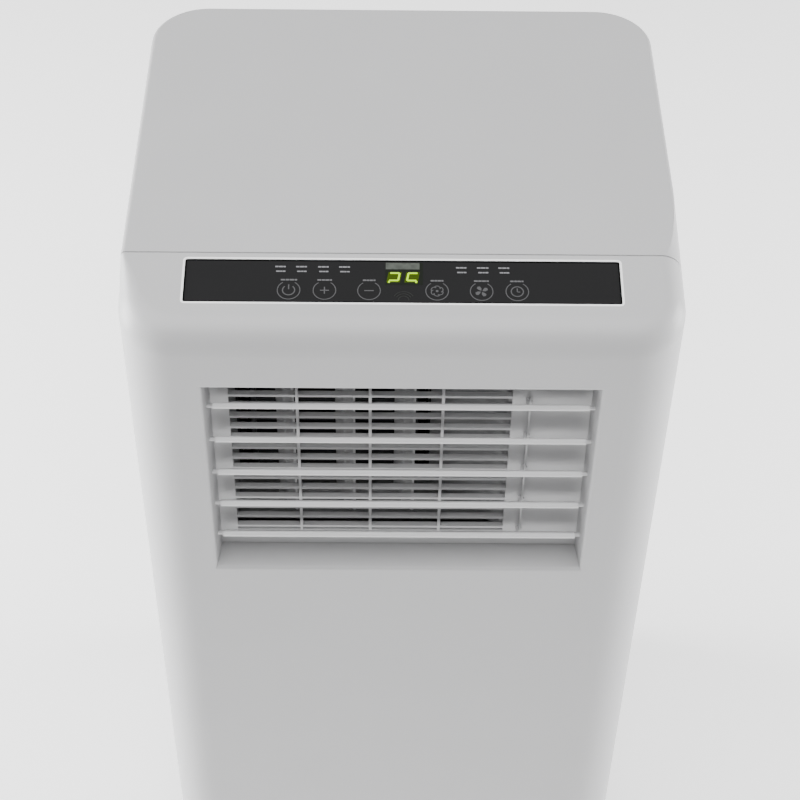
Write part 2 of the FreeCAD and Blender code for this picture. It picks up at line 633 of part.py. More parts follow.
def louvre_motor():
    """Stepper with an offset shaft, in line with the middle louvre's pin."""
    middle_z = blade_height(int(size("blade_count")) // 2)
    pin_end = "blade_half + blade_pin_reach"
    start = f"{pin_end} + stepper_gap"
    can = rod("stepper_can", "X", ("blade_back + stepper_offset - case_depth/2", middle_z),
              (start, f"{start} + stepper_long"), "stepper_radius")
    shaft = rod("stepper_shaft", "X", ("blade_back - case_depth/2", middle_z),
                (f"{pin_end} + stepper_play", f"{start} + past"), "blade_pin")
    piece(fuse("louvre_motor", can, shaft), "louvre_motor")


def outlet_duct():
    """Tapering duct from the blower to the guard, bored for the vane pins, with a drip slot in front."""
    y = ("duct_front", "duct_rear")
    front_x, rear_x = ("duct_left", "window_right"), ("duct_left", "duct_right")
    z = ("duct_low", "window_high")
    wide_front, wide_rear, tall = ((f"{low} - duct_wall", f"{high} + duct_wall")
                                   for low, high in (front_x, rear_x, z))
    front = "outlet_depth + bar_deep - case_depth/2 + flange_gap"
    outside = wedge("duct_outside", wide_front, (front, y[1]), tall, wide_rear, tall)
    inside = wedge("duct_inside", front_x, y, z, rear_x, z)
    front_cut = box("duct_mouth", front_x, ("duct_front - past", "duct_front"), z)
    back_cut = box("duct_back", rear_x, ("duct_rear", "duct_rear + past"), z)
    slot = box("drip_slot", front_x, ("slot_front", "slot_rear"),
               ("duct_low - duct_wall - past", "duct_low + past"))
    bores = [rod(f"vane_bore_{i + 1}", "Z", (shifted("vane_first", i, "vane_pitch"), "vane_y"), beyond(tall),
                 "vane_pin + fit") for i in range(int(size("vane_count")))]
    piece(cut("outlet_duct", outside, inside, front_cut, back_cut, slot, *bores), "outlet_duct")


def vane(number):
    """An upright vane on two pins, with a link pin under its rear edge."""
    name = f"vane_{number}"
    flat = box(name + "_plank", ("-vane_thick/2", "vane_thick/2"), ("-vane_half", "vane_half"),
               ("vane_low", "window_high - vane_gap"))
    pins = rod(name + "_pins", "Z", ("0", "0"), ("duct_low - duct_wall", "window_high + duct_wall"),
               "vane_pin")
    crank = rod(name + "_crank", "Z", ("0", "vane_crank"),
                ("vane_link_low - vane_crank_reach", "vane_low + past"), "crank_pin")
    solid = fuse(name, flat, pins, crank)
    solid.Placement = FreeCAD.Placement(Vector(), FreeCAD.Rotation(Vector(0, 0, 1), size("vane_yaw")))
    place(solid, shifted("vane_first", number - 1, "vane_pitch"), "vane_y", "0")
    return piece(solid, name)


def vane_link():
    """The flat bar joining the vanes below their lower edges."""
    count = int(size("vane_count"))
    first_x = "(vane_first - vane_crank*sin(vane_yaw))"
    centre_y = "vane_y + vane_crank*cos(vane_yaw)"
    z = ("vane_link_low", "vane_link_low + vane_link_thick")
    last_x = f"{first_x} + (vane_count - 1)*vane_pitch"
    bar = box("vane_bar", (f"{first_x} - vane_link_half", f"{last_x} + vane_link_half"),
              about(centre_y, "vane_link_half"), z)
    holes = []
    for i in range(count):
        clearance = "fit" if i == count // 2 else "2*fit"
        holes.append(rod(f"vane_link_hole_{i + 1}", "Z", (shifted(first_x, i, "vane_pitch"), centre_y),
                         beyond(z), f"crank_pin + {clearance}"))
    piece(cut("vane_link", bar, *holes), "vane_link")


# ---------------------------------------------------------------- blowers

def scroll_outline(first, growth, tongue, mouth, extra):
    """Volute as three quarter arcs of growing radius and a straight throat.

    Local axes: u runs out of the mouth, v away from the tongue; extra widens it all round.
    """
    small, middle, large = (first + growth*i + extra for i in range(3))
    low = tongue - extra
    start = (math.sqrt(small**2 - low**2), low)
    dip = math.atan2(low, start[0])
    half_way = (dip - math.pi/2)/2
    slant = math.sqrt(0.5)
    bottom = (0, -small)
    back = (-middle, growth)
    top = (growth, growth + large)
    return [
        ("arc", start, (small*math.cos(half_way), small*math.sin(half_way)), bottom),
        ("arc", bottom, (-middle*slant, growth - middle*slant), back),
        ("arc", back, (growth - large*slant, growth + large*slant), top),
        ("line", top, (mouth, growth + large)),
        ("line", (mouth, growth + large), (mouth, low)),
        ("line", (mouth, low), start),
    ]


def volute(centre, out, away, span, figures):
    """The outline carried into space and given its width along the fan's axis."""
    def point(uv):
        return centre + out*uv[0] + away*uv[1]
    edges = []
    for kind, *points in figures:
        if kind == "arc":
            edges.append(Part.Arc(*[point(p) for p in points]).toShape())
        else:
            edges.append(Part.LineSegment(*[point(p) for p in points]).toShape())
    face = Part.Face(Part.Wire(edges))
    axis = span[1] - span[0]
    face.translate(span[0])
    return face.extrude(axis)


def blower_scroll():
    """Upper volute: axis across the unit, mouth to the front, an inlet in each side."""
    centre = Vector(0, size("blower_y"), size("blower_z"))
    tongue = size("duct_low") - size("blower_z")
    mouth = size("blower_y") - size("duct_rear")
    wall = size("scroll_wall")
    left, right = size("duct_left"), size("duct_right")
    frame = (centre, Vector(0, -1, 0), Vector(0, 0, 1))
    outside = volute(*frame, (Vector(left - wall, 0, 0), Vector(right + wall, 0, 0)),
                     scroll_outline(size("scroll_first"), size("scroll_growth"), tongue, mouth, wall))
    inside = volute(*frame, (Vector(left, 0, 0), Vector(right, 0, 0)),
                    scroll_outline(size("scroll_first"), size("scroll_growth"), tongue, mouth + wall, 0))
    inlets = rod("scroll_inlets", "X", ("blower_y", "blower_z"),
                 beyond(("duct_left - scroll_wall", "duct_right + scroll_wall")), "inlet_radius")
    piece(cut("blower_scroll", shaped("scroll_outside", outside), shaped("scroll_inside", inside), inlets),
          "blower_scroll")


def hot_scroll():
    """Lower volute: axis front to back, mouth upwards, inlet at the back."""
    centre = Vector(size("hot_x"), 0, size("hot_z"))
    wall, mouth = size("scroll_wall"), size("hot_mouth")
    front, back = size("hot_front"), size("hot_back")
    frame = (centre, Vector(0, 0, 1), Vector(1, 0, 0))
    outside = volute(*frame, (Vector(0, front - wall, 0), Vector(0, back + wall, 0)),
                     scroll_outline(size("hot_first"), size("hot_growth"), size("hot_tongue"), mouth, wall))
    inside = volute(*frame, (Vector(0, front, 0), Vector(0, back, 0)),
                    scroll_outline(size("hot_first"), size("hot_growth"), size("hot_tongue"), mouth + wall, 0))
    at = ("hot_x", "hot_z")
    inlet = rod("hot_inlet_cut", "Y", at, beyond(("hot_back", "hot_back + scroll_wall")), "hot_inlet")
    shaft = rod("hot_shaft_cut", "Y", at, beyond(("hot_front - scroll_wall", "hot_front")),
                "hub_radius + hot_shaft_gap")
    piece(cut("condenser_scroll", shaped("hot_outside", outside), shaped("hot_inside", inside), inlet, shaft),
          "condenser_scroll")


def fan_wheel(node, radius, eye, width, disc_place):
    """Forward-curved wheel about its own Z: a disc on a hub, blades round it and a ring at each end."""
    body = new_body(node + "_blades")
    curl = f"({radius} - {eye})*tan(fan_blade_turn)"
    blade = padded(body, node + "_blade", "XY_Plane", [
        (f"{eye} + past", "-fan_blade_thick/2"), (f"{radius} - past", f"{curl} - fan_blade_thick/2"),
        (f"{radius} - past", f"{curl} + fan_blade_thick/2"), (f"{eye} + past", "fan_blade_thick/2")], width)
    ringed(body, blade, "fan_blades")
    middle = ("0", "0")
    rings = [tube(f"{node}_ring_{end}", "Z", middle, (low, f"{low} + fan_rim"), radius, eye)
             for end, low in (("a", "0"), ("b", f"{width} - fan_rim"))]
    disc = rod(node + "_disc", "Z", middle, (disc_place, f"{disc_place} + fan_disc"), f"{eye} + fan_overlap")
    hub_span = about(disc_place, "hub_long/2")
    hub = rod(node + "_hub", "Z", middle, hub_span, "hub_radius")
    bore = rod(node + "_bore", "Z", middle, beyond(hub_span), "shaft_radius + fit")
    return piece(cut(node, fuse(node + "_solid", body, disc, hub, *rings), bore), node)


def fans():
    """Both blower wheels, set on their axes."""
    upper = fan_wheel("evaporator_fan", "fan_radius", "fan_eye", "(fan_right - fan_left)",
                      "(fan_right - fan_left)/2")
    upper.Placement = FreeCAD.Placement(Vector(), TURNS["X"])
    place(upper, "fan_left", "blower_y", "blower_z")
    lower = fan_wheel("condenser_fan", "hot_fan_radius", "hot_fan_eye", "(hot_fan_back - hot_fan_front)",
                      "hot_fan_disc")
    lower.Placement = FreeCAD.Placement(Vector(), TURNS["Y"])
    place(lower, "hot_x", "hot_fan_front", "hot_z")


def evaporator_motor():
    """Can with a shaft into the wheel, held to the volute by three lugs."""
    at = ("blower_y", "blower_z")
    can = rod("evaporator_can", "X", at, ("motor_left", "motor_right"), "motor_radius")
    shaft = rod("evaporator_shaft", "X", at, ("(fan_left + fan_right)/2 - hub_long/2", "motor_left + past"),
                "shaft_radius")
    lugs = [motor_lug(f"motor_lug_{i + 1}", 120*i) for i in range(3)]
    piece(fuse("evaporator_motor", can, shaft, *lugs), "evaporator_motor")


def motor_lug(name, turn):
    """A bar from the motor's can out to the volute, turned about the shaft."""
    lug = doc.addObject("Part::Box", name)
    lug.Placement = FreeCAD.Placement(Vector(), FreeCAD.Rotation(Vector(1, 0, 0), turn))
    bind(lug, "Length", "motor_left + lug_grip - duct_right - scroll_wall")
    bind(lug, "Width", "2*lug_half")
    bind(lug, "Height", "motor_lug - motor_radius + lug_sink")
    near = "(motor_radius - lug_sink)"
    place(lug, "duct_right + scroll_wall", f"blower_y - lug_half*cos({turn}) - {near}*sin({turn})",
          f"blower_z - lug_half*sin({turn}) + {near}*cos({turn})")
    return lug


def condenser_motor():
    """Can on the front of the hot volute, with a spacer ring and its shaft into the wheel."""
    at = ("hot_x", "hot_z")
    can = rod("condenser_can", "Y", at, ("hot_motor_front", "hot_motor_back"), "hot_motor_radius")
    stand = tube("condenser_stand", "Y", at, ("hot_motor_back - past", "hot_front - scroll_wall"),
                 "hot_motor_radius - hot_stand_inset", "hot_motor_radius - hot_stand_inset - hot_stand_wall")
    shaft = rod("condenser_shaft", "Y", at,
                ("hot_motor_back - past", "hot_fan_front + hot_fan_disc + hub_long/2"), "shaft_radius")
    piece(fuse("condenser_motor", can, stand, shaft), "condenser_motor")


# ---------------------------------------------------------------- refrigerant circuit

def bent_pipe(points, radius, bend):
    """A round pipe along straight runs joined by tangent arcs."""
    edges = []
    start = points[0]
    for i in range(1, len(points) - 1):
        corner, before, after = points[i], points[i - 1], points[i + 1]
        into, out = (corner - before).normalize(), (after - corner).normalize()
        half_turn = into.getAngle(out)/2
        reach = bend*math.tan(half_turn)
        first, last = corner - into*reach, corner + out*reach
        inward = (out - into).normalize()
        middle = corner + inward*(bend/math.cos(half_turn) - bend)
        edges.append(Part.LineSegment(start, first).toShape())
        edges.append(Part.Arc(first, middle, last).toShape())
        start = last
    edges.append(Part.LineSegment(start, points[-1]).toShape())
    path = Part.Wire(edges)
    ring = Part.Wire(Part.makeCircle(radius, points[0], (points[1] - points[0]).normalize()))
    return path.makePipeShell([ring], True, False)


def coil(name, low, rows):
    """A fin pack on a serpentine tube; both ends of the tube come out on the left."""
    pitch, half = size("tube_pitch"), size("coil_half")
    middle_y = (size("coil_front") + size("coil_back"))/2
    over, radius, past = size("coil_over"), size("tube_radius"), size("past")
    first = size(low) + size("coil_margin")
    count = int(size(rows))
    points = [Vector(-half - over*2, middle_y, first)]
    for row in range(count):
        z = first + row*pitch
        side = 1 if row % 2 == 0 else -1
        points.append(Vector(side*(half + over + pitch/2), middle_y, z))
        if row < count - 1:
            points.append(Vector(side*(half + over + pitch/2), middle_y, z + pitch))
    points[-1] = Vector(math.copysign(half + 2*over, points[-1].x), middle_y, points[-1].z)
    piece(shaped(name + "_tube", bent_pipe(points, radius, pitch/2 - size("tube_ease"))), name + "_tube")
    holes = [Part.makeCylinder(radius, 2*(half + past), Vector(-half - past, middle_y, first + row*pitch),
                               Vector(1, 0, 0)) for row in range(count)]
    height = (count - 1)*pitch + 2*size("coil_margin")
    depth = size("coil_back") - size("coil_front")
    thick = size("fin_thick")
    blank = Part.makeBox(thick, depth, height, Vector(-half, size("coil_front"), size(low)))
    plate = blank.cut(Part.makeCompound(holes))
    gaps = int(2*half/size("fin_pitch"))
    step = (2*half - thick)/gaps
    fins = [plate.translated(Vector(i*step, 0, 0)) for i in range(gaps + 1)]
    piece(shaped(name + "_fins", Part.makeCompound(fins)), name + "_fins")
    return points[0], points[-1]


def compressor():
    """Upright rotary compressor and the accumulator beside it: cans with domed ends."""
    piece(turned("compressor", [
        ("0", "compressor_low"), ("compressor_radius - dome/2", "compressor_low"),
        ("compressor_radius", "compressor_low + dome/2"), ("compressor_radius", "compressor_high - dome"),
        ("compressor_radius - dome", "compressor_high - dome/4"), ("0", "compressor_high")],
        "Z", ("compressor_x", "compressor_y")), "compressor")
    piece(turned("accumulator", [
        ("0", "accumulator_low"), ("accumulator_neck", "accumulator_low"),
        ("accumulator_radius", "accumulator_low + accumulator_dome"),
        ("accumulator_radius", "accumulator_high - accumulator_dome"),
        ("accumulator_neck", "accumulator_high"), ("0", "accumulator_high")],
        "Z", ("accumulator_x", "accumulator_y")), "accumulator")


def pipes(cold_ends, hot_ends):
    """Suction, discharge and capillary lines between the two coils and the compressor."""
    radius, bend = size("pipe_radius"), size("pipe_bend")
    riser = size("riser_x")
    cold_in, cold_out = cold_ends
    hot_out, hot_in = hot_ends
    bottle = Vector(size("accumulator_x"), size("accumulator_y"), size("accumulator_high"))
    crown = Vector(size("compressor_x"), size("compressor_y"), size("compressor_high"))

    def line_to(start, height, turn_y, end):
        return [start, Vector(start.x, start.y, height), Vector(riser, turn_y, height),
                Vector(riser, end.y, height), Vector(riser, end.y, end.z), end]

    suction = line_to(bottle, size("suction_high"), size("suction_turn"), cold_out)
    discharge = line_to(crown, size("discharge_high"), size("discharge_turn"), hot_in)
    piece(shaped("suction_pipe", bent_pipe(suction, radius, bend)), "suction_pipe")
    piece(shaped("discharge_pipe", bent_pipe(discharge, radius, bend)), "discharge_pipe")
    x, y = size("capillary_x"), size("capillary_y")
    capillary = [hot_out, Vector(x, hot_out.y, hot_out.z), Vector(x, y, hot_out.z), Vector(x, y, cold_in.z),
                 Vector(x, cold_in.y, cold_in.z), cold_in]
    piece(shaped("capillary_tube", bent_pipe(capillary, size("capillary_radius"), size("capillary_bend"))),
          "capillary_tube")


# ---------------------------------------------------------------- structure

def rounded_slab(name, inset, z):
    """A slab that fills the casing's plan less an inset, with its upright corners rounded."""
    slab = box(name + "_slab", (f"{inset} - case_width/2", f"case_width/2 - {inset}"),
               (f"{inset} - case_depth/2", f"case_depth/2 - {inset}"), z)
    return eased(name, slab, runs_along(Vector(0, 0, 1)), size("pan_corner"))


def deck_tray():
    """The deck between the cold and hot halves, with a rim, a ledge for the coil and a pipe notch."""
    above = f"deck_low + deck_rim + {OUTSIDE}"
    solid = rounded_slab("deck_block", "(wall + deck_inset)", ("deck_low", "deck_low + deck_rim"))
    hollow = rounded_slab("deck_hollow", "(wall + deck_inset + deck_wall)", ("deck_low + deck_floor", above))
    ledge = box("deck_ledge", ("-coil_half", "coil_half"), ("coil_front", "coil_back"),
                ("deck_low + past", "evaporator_low"))
    notch = box("deck_notch", (f"-case_width/2 - {OUTSIDE}", "capillary_x + deck_notch_side"),
                ("capillary_y - deck_notch_front", "coil_back"), ("deck_low - past", above))
    drain = rod("deck_drain", "Z", ("coil_half - deck_drain_side", "coil_front - deck_drain_front"),
                ("deck_low - past", "evaporator_low"), "deck_drain_radius")
    tray = fuse("deck_solid", cut("deck_dish", solid, hollow), ledge)
    piece(cut("deck_tray", tray, notch, drain), "deck_tray")


def base_pan():
    """Floor of the unit: a water tray with caster sockets, compressor platform and drain spout."""
    floor = "pan_low + past"
    dish = cut("pan_dish", rounded_slab("pan_block", "(wall + pan_gap)", ("pan_low", "pan_high")),
               rounded_slab("pan_hollow", "(wall + pan_gap + pan_wall)",
                            ("pan_low + pan_floor", f"pan_high + {OUTSIDE}")))
    platform = rod("pan_platform", "Z", ("compressor_x", "compressor_y"), (floor, "compressor_low"),
                   "platform_radius")
    bosses, sockets = [], []
    for number, (side_x, side_y) in enumerate(CORNERS, start=1):
        at = (f"{side_x}*caster_x", f"{side_y}*caster_y")
        bosses.append(rod(f"caster_boss_{number}", "Z", at, (floor, "pan_high"), "boss_radius"))
        sockets.append(rod(f"caster_socket_{number}", "Z", at, ("pan_low - past", "stem_high + past"),
                           "shaft_radius + fit"))
    pocket_wall = box("drain_pocket_wall", about("drain_x", "(drain_half + pan_wall)"),
                      ("drain_inner - pan_wall", "case_depth/2 - wall - pan_gap - past"), (floor, "pan_high"))
    pocket = box("drain_pocket", about("drain_x", "drain_half"), ("drain_inner", f"case_depth/2 + {OUTSIDE}"),
                 ("pan_low + pan_floor - past", f"pan_high + {OUTSIDE}"))
    raised = cut("pan_pocketed", fuse("pan_raised", dish, platform, pocket_wall, *bosses), pocket)
    tray = fuse("pan_solid", raised, *pan_fittings(floor))
    spout_bore = rod("drain_bore_cut", "Y", ("drain_x", "drain_z"),
                     (f"drain_inner - {OUTSIDE}", "drain_tip + past"), "drain_bore")
    piece(cut("base_pan", tray, spout_bore, *sockets), "base_pan")


def pan_fittings(floor):
    """What stands on the pan: drain spout, splash motor's bracket, float guide and the hot coil's ledge."""
    spout = rod("drain_spout", "Y", ("drain_x", "drain_z"), ("drain_inner - past", "drain_tip"), "drain_outer")
    post = box("splash_post", about("splash_x", "bracket_half"),
               ("splash_motor_front + bracket_inset", "splash_motor_back - bracket_inset"),
               (floor, "splash_z - splash_motor_radius + pan_floor/2"))
    saddle = rod("splash_saddle", "Y", ("splash_x", "splash_z"), ("splash_motor_front", "splash_motor_back"),
                 "splash_motor_radius")
    guide = rod("float_guide", "Z", ("float_x", "float_y"), (floor, "float_post_high"), "float_post")
    stop = rod("float_seat", "Z", ("float_x", "float_y"), (floor, "float_low"), "float_stop")
    ledge = box("condenser_ledge", ("-coil_half", "coil_half"),
                ("coil_front + coil_ledge_inset", "coil_back - coil_ledge_inset"), (floor, "condenser_low"))
    return spout, cut("splash_bracket", post, saddle), guide, stop, ledge


def casters():
    """Four swivel casters: a stemmed fork between a pair of wheels on one axle."""
    for number, (side_x, side_y) in enumerate(CORNERS, start=1):
        for solid, node in ((caster_fork(number), f"caster_fork_{number}"),
                            (caster_wheels(number), f"caster_wheels_{number}")):
            place(solid, f"{side_x}*caster_x", f"{side_y}*caster_y", "0")
            piece(solid, node)


AXLE_AT = ("caster_trail", "wheel_radius")


def caster_fork(number):
    """Fork about its own stem, with the axle bored through it behind."""
    body = new_body(f"fork_{number}_body")
    front, back = "-shaft_radius - fork_wall/2", "caster_trail + fork_reach"
    padded(body, f"fork_{number}_cheek", "YZ_Plane", [
        (front, "wheel_radius + fork_shoulder"), ("axle_radius + fork_wall", "fork_foot"),
        ("caster_trail + axle_radius", "fork_foot"), (back, "wheel_radius - fork_shoulder"),
        (back, "fork_crown"), ("caster_trail + fork_shoulder", "2*wheel_radius"),
        (front, "2*wheel_radius")], "2*fork_half", both_ways=True)
    stem = rod(f"fork_{number}_stem", "Z", ("0", "0"), ("stem_low", "stem_high"), "shaft_radius")
    bore = rod(f"fork_{number}_bore", "X", AXLE_AT, beyond(("-fork_half", "fork_half")), "axle_radius + fit")
    return cut(f"caster_fork_{number}", fuse(f"fork_{number}_solid", body, stem), bore)


def caster_wheels(number):
    """Two wheels joined by their axle."""
    inner = "fork_half + wheel_gap"
    axle = rod(f"axle_{number}", "X", AXLE_AT, beyond((f"-({inner})", inner)), "axle_radius")
    wheels = [rod(f"wheel_{number}_{side}", "X", AXLE_AT, side_span(sign, inner, f"{inner} + wheel_wide"),
                  "wheel_radius") for sign, side in ((-1, "left"), (1, "right"))]
    rim = 2*math.pi*size("wheel_radius")
    return eased(f"caster_wheels_{number}", fuse(f"wheel_pair_{number}", axle, *wheels),
                 lambda edge: abs(edge.Length - rim) < size("fit"), size("wheel_round"))


def intake_panel(which):
    """A lift-off slotted intake grille and the filter frame clipped behind it."""
    low, high = f"{which}_low", f"{which}_high"
    outside = ("case_depth/2 - wall", "case_depth/2")
    inner_x = ("grille_border - intake_half", "intake_half - grille_border")
    inner_z = (f"{low} + grille_border", f"{high} - grille_border")
    plate = box(f"{which}_plate", ("-intake_half", "intake_half"), outside, (low, high))
    frame = cut(f"{which}_frame", plate, box(f"{which}_opening", inner_x, beyond(outside), inner_z))
    bars = []
    tall = size(high) - size(low) - 2*size("grille_border")
    count = int(tall/size("grille_pitch"))
    for i in range(1, count + 1):
        middle = f"{low} + grille_border + ({high} - {low} - 2*grille_border)*{i}/{count + 1}"
        bars.append(box(f"{which}_bar_{i}", beyond(inner_x), outside, about(middle, "grille_bar/2")))
    ribs = int(size("grille_ribs"))
    rib_y = ("case_depth/2 - wall - grille_rib_half", "case_depth/2 - grille_rib_set")
    for i in range(1, ribs + 1):
        middle = f"-intake_half + 2*intake_half*{i}/{ribs + 1}"
        bars.append(box(f"{which}_rib_{i}", about(middle, "grille_rib_half"), rib_y, beyond(inner_z)))
    lip_y = ("filter_front + filter_thick", "case_depth/2 - wall + past")
    clip = "clip_inset + clip_wall"
    lip = cut(f"{which}_lip",
              box(f"{which}_lip_out", ("clip_inset - intake_half", "intake_half - clip_inset"), lip_y,
                  (f"{low} + clip_inset", f"{high} - clip_inset")),
              box(f"{which}_lip_in", (f"{clip} - intake_half", f"intake_half - ({clip})"), beyond(lip_y),
                  (f"{low} + {clip}", f"{high} - ({clip})")))
    piece(fuse(f"{which}_grille", frame, lip, *bars), f"{which}_grille")
    filter_frame(which, low, high)


def filter_frame(which, low, high):
    """Frame and cross ribs of the air filter; the mesh is stretched over them."""
    edge_x = ("filter_inset - intake_half", "intake_half - filter_inset")
    edge_z = (f"{low} + filter_inset", f"{high} - filter_inset")
    deep = ("filter_front", "filter_front + filter_thick")
    rib_y = ("filter_front", "filter_front + filter_rib_deep")
    window = box(f"{which}_filter_window", (f"{edge_x[0]} + filter_border", f"{edge_x[1]} - filter_border"),
                 beyond(deep), (f"{edge_z[0]} + filter_border", f"{edge_z[1]} - filter_border"))
    rib_x, rib_z = ((f"{near} + past", f"{far} - past") for near, far in (edge_x, edge_z))
    ribs = []
    cells = int(size("filter_cells"))
    for i in range(1, cells):
        x, z = (f"{near} + ({far} - ({near}))*{i}/{cells}" for near, far in (edge_x, edge_z))
        ribs.append(box(f"{which}_filter_upright_{i}", about(x, "filter_rib/2"), rib_y, rib_z))
        ribs.append(box(f"{which}_filter_cross_{i}", rib_x, rib_y, about(z, "filter_rib/2")))
    border = cut(f"{which}_filter_border", box(f"{which}_filter_slab", edge_x, deep, edge_z), window)
    piece(fuse(f"{which}_filter", border, *ribs), f"{which}_filter")


# ---------------------------------------------------------------- hot side and small parts

def exhaust_duct():
    """Plenum from the hot volute's mouth to the round outlet in the back."""
    mouth_z = "hot_z + hot_mouth"
    near, far = "hot_front - scroll_wall", "exhaust_front"
    riser_x = ("hot_x + hot_tongue - scroll_wall", "exhaust_right")
    plenum_x = ("exhaust_left", "exhaust_right")
    riser = box("riser_outside", riser_x, (near, "riser_back"), (mouth_z, "duct_top"))
    plenum = box("plenum_outside", plenum_x, ("plenum_front", far), ("exhaust_floor", "duct_top"))
    riser_in = box("riser_inside", inward(riser_x), (f"{near} + duct_wall", "riser_back + duct_wall"),
                   (f"{mouth_z} - past", "duct_top - duct_wall"))
    plenum_in = box("plenum_inside", inward(plenum_x), inward(("plenum_front", far)),
                    inward(("exhaust_floor", "duct_top")))
    hole = rod("plenum_hole", "Y", ("exhaust_x", "exhaust_z"), (f"{far} - {OUTSIDE}", f"{far} + past"),
               "exhaust_radius")
    piece(cut("exhaust_duct", fuse("duct_solid", riser, plenum), riser_in, plenum_in, hole), "exhaust_duct")


def inward(span):
    """A span less the duct wall at both ends."""
    return (f"{span[0]} + duct_wall", f"{span[1]} - duct_wall")


def exhaust_ring():
    """The round collar that the hose adapter pushes into."""
    at = ("exhaust_x", "exhaust_z")
    long = ("exhaust_front", "case_depth/2")
    inside = "case_depth/2 - wall - flange_gap"
    collar = rod("collar_body", "Y", at, long, "exhaust_radius + exhaust_wall")
    flange = rod("collar_flange", "Y", at, (f"{inside} - flange_thick", inside), "exhaust_flange")
    bore = rod("collar_bore", "Y", at, beyond(long), "exhaust_radius")
    piece(cut("exhaust_ring", fuse("collar_solid", collar, flange), bore), "exhaust_ring")


def drain_plug():
    at = ("drain_x", "drain_z")
    stem = rod("plug_stem", "Y", at, ("drain_tip - plug_long", "drain_tip + past"), "drain_bore - fit")
    head = rod("plug_cap", "Y", at, ("drain_tip + flange_gap", "case_depth/2 - flange_gap"), "plug_head")
    piece(fuse("drain_plug", stem, head), "drain_plug")


def cord_gland():
    """Bush that the mains lead comes out of."""
    at = ("gland_x", "gland_z")
    inside = "case_depth/2 - wall - flange_gap"
    nose_end = "case_depth/2 - flange_gap"
    nose = rod("gland_nose", "Y", at, (f"{inside} - past", nose_end), "gland_radius")
    flange = rod("gland_collar", "Y", at, (f"{inside} - gland_thick", inside), "gland_flange")
    bore = rod("gland_hole_cut", "Y", at, beyond((f"{inside} - gland_thick", nose_end)), "gland_bore")
    piece(cut("cord_gland", fuse("gland_solid", nose, flange), bore), "cord_gland")


def splash_set():
    """Small motor and the slinger wheel that throws condensate onto the hot coil; overflow float."""
    at = ("splash_x", "splash_z")
    can = rod("splash_can", "Y", at, ("splash_motor_front", "splash_motor_back"), "splash_motor_radius")
    shaft = rod("splash_spindle", "Y", at, ("splash_motor_back - past", "splash_back"), "splash_shaft")
    piece(fuse("splash_motor", can, shaft), "splash_motor")
    body = new_body("splash_body")
    wide = "splash_back - splash_front"
    paddle = padded(body, "splash_paddle", "XY_Plane", [
        ("splash_hub - past", "-paddle_half"), ("splash_radius", "-paddle_half"),
        ("splash_radius", "paddle_half"), ("splash_hub - past", "paddle_half")], wide)
    ringed(body, paddle, "splash_paddles")
    middle = ("0", "0")
    disc = rod("splash_plate", "Z", middle, ("0", "splash_disc"), "splash_radius - splash_rim")
    hub = rod("splash_core", "Z", middle, ("0", wide), "splash_hub")
    bore = rod("splash_bore", "Z", middle, beyond(("0", wide)), "splash_shaft + fit")
    wheel = cut("splash_wheel", fuse("splash_solid", body, disc, hub), bore)
    wheel.Placement = FreeCAD.Placement(Vector(), TURNS["Y"])
    place(wheel, "splash_x", "splash_front", "splash_z")
    piece(wheel, "splash_wheel")
    piece(tube("float", "Z", ("float_x", "float_y"), ("float_low", "float_high"), "float_radius",
               "float_post + fit"), "float")


def electrics():
    """Control box on the right wall with the main circuit board inside."""
    outside = box("box_outside", ("box_left", "box_right"), ("box_front", "box_back"),
                  ("box_low", "box_high"))
    hollow = box("box_hollow", ("box_left - past", "box_right - box_wall"),
                 ("box_front + box_wall", "box_back - box_wall"),
                 ("box_low + box_wall", "box_high - box_wall"))
    piece(cut("control_box", outside, hollow), "control_box")
    back = "box_right - box_wall - board_inset"
    board = box("board_plate", (f"{back} - board_thick", back),
                ("box_front + board_inset", "box_back - board_inset"),
                ("box_low + board_inset", "box_high - board_inset"))
    relay = box("board_relay", (f"{back} - relay_tall", f"{back} - past"),
                ("box_front + relay_front", "box_front + relay_back"),
                ("box_low + relay_low", "box_low + relay_high"))
    can = rod("board_capacitor", "X", ("box_back - capacitor_back", "box_high - capacitor_down"),
              (f"{back} - capacitor_tall", f"{back} - past"), "capacitor_radius")
    piece(fuse("main_board", board, relay, can), "main_board")


def build():
    casing_shells()
    casing_screws()
    handle_cups()
    control_panel()
    outlet_grille()
    for number in range(1, int(size("blade_count")) + 1):
        louvre_blade(number)
    louvre_link()
    louvre_motor()
    outlet_duct()
    for number in range(1, int(size("vane_count")) + 1):
        vane(number)
    vane_link()
    blower_scroll()
    hot_scroll()
    fans()
    evaporator_motor()
    condenser_motor()
    cold_ends = coil("evaporator", "evaporator_low", "evaporator_tubes")
    hot_ends = coil("condenser", "condenser_low", "condenser_tubes")
    compressor()
    pipes(cold_ends, hot_ends)
    deck_tray()
    base_pan()
    casters()
    intake_panel("upper")
    intake_panel("lower")
    exhaust_duct()
    exhaust_ring()
    drain_plug()
    cord_gland()
    splash_set()
    electrics()


def check_and_write():
    doc.recompute()
    for obj in doc.Objects:
        if "Invalid" in obj.State or "Error" in obj.State:
            raise RuntimeError(f"{obj.Name} ({obj.Label}) failed: {obj.State}")
    for obj in pieces:
        if obj.Shape.isNull() or not obj.Shape.isValid() or not obj.Shape.Solids:
            raise RuntimeError(f"{obj.Label} has no sound solid")
    os.makedirs("parts", exist_ok=True)
    for obj in pieces:
        obj.Shape.exportStep(f"parts/{obj.Label}.step")
        print(f"{obj.Label}: {len(obj.Shape.Solids)} solids, {obj.Shape.Volume:.0f} mm3")
    print(len(pieces), "sub-parts")


build()
check_and_write()
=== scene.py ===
import json
import math

import bpy
import bmesh
from mathutils import Matrix, Vector


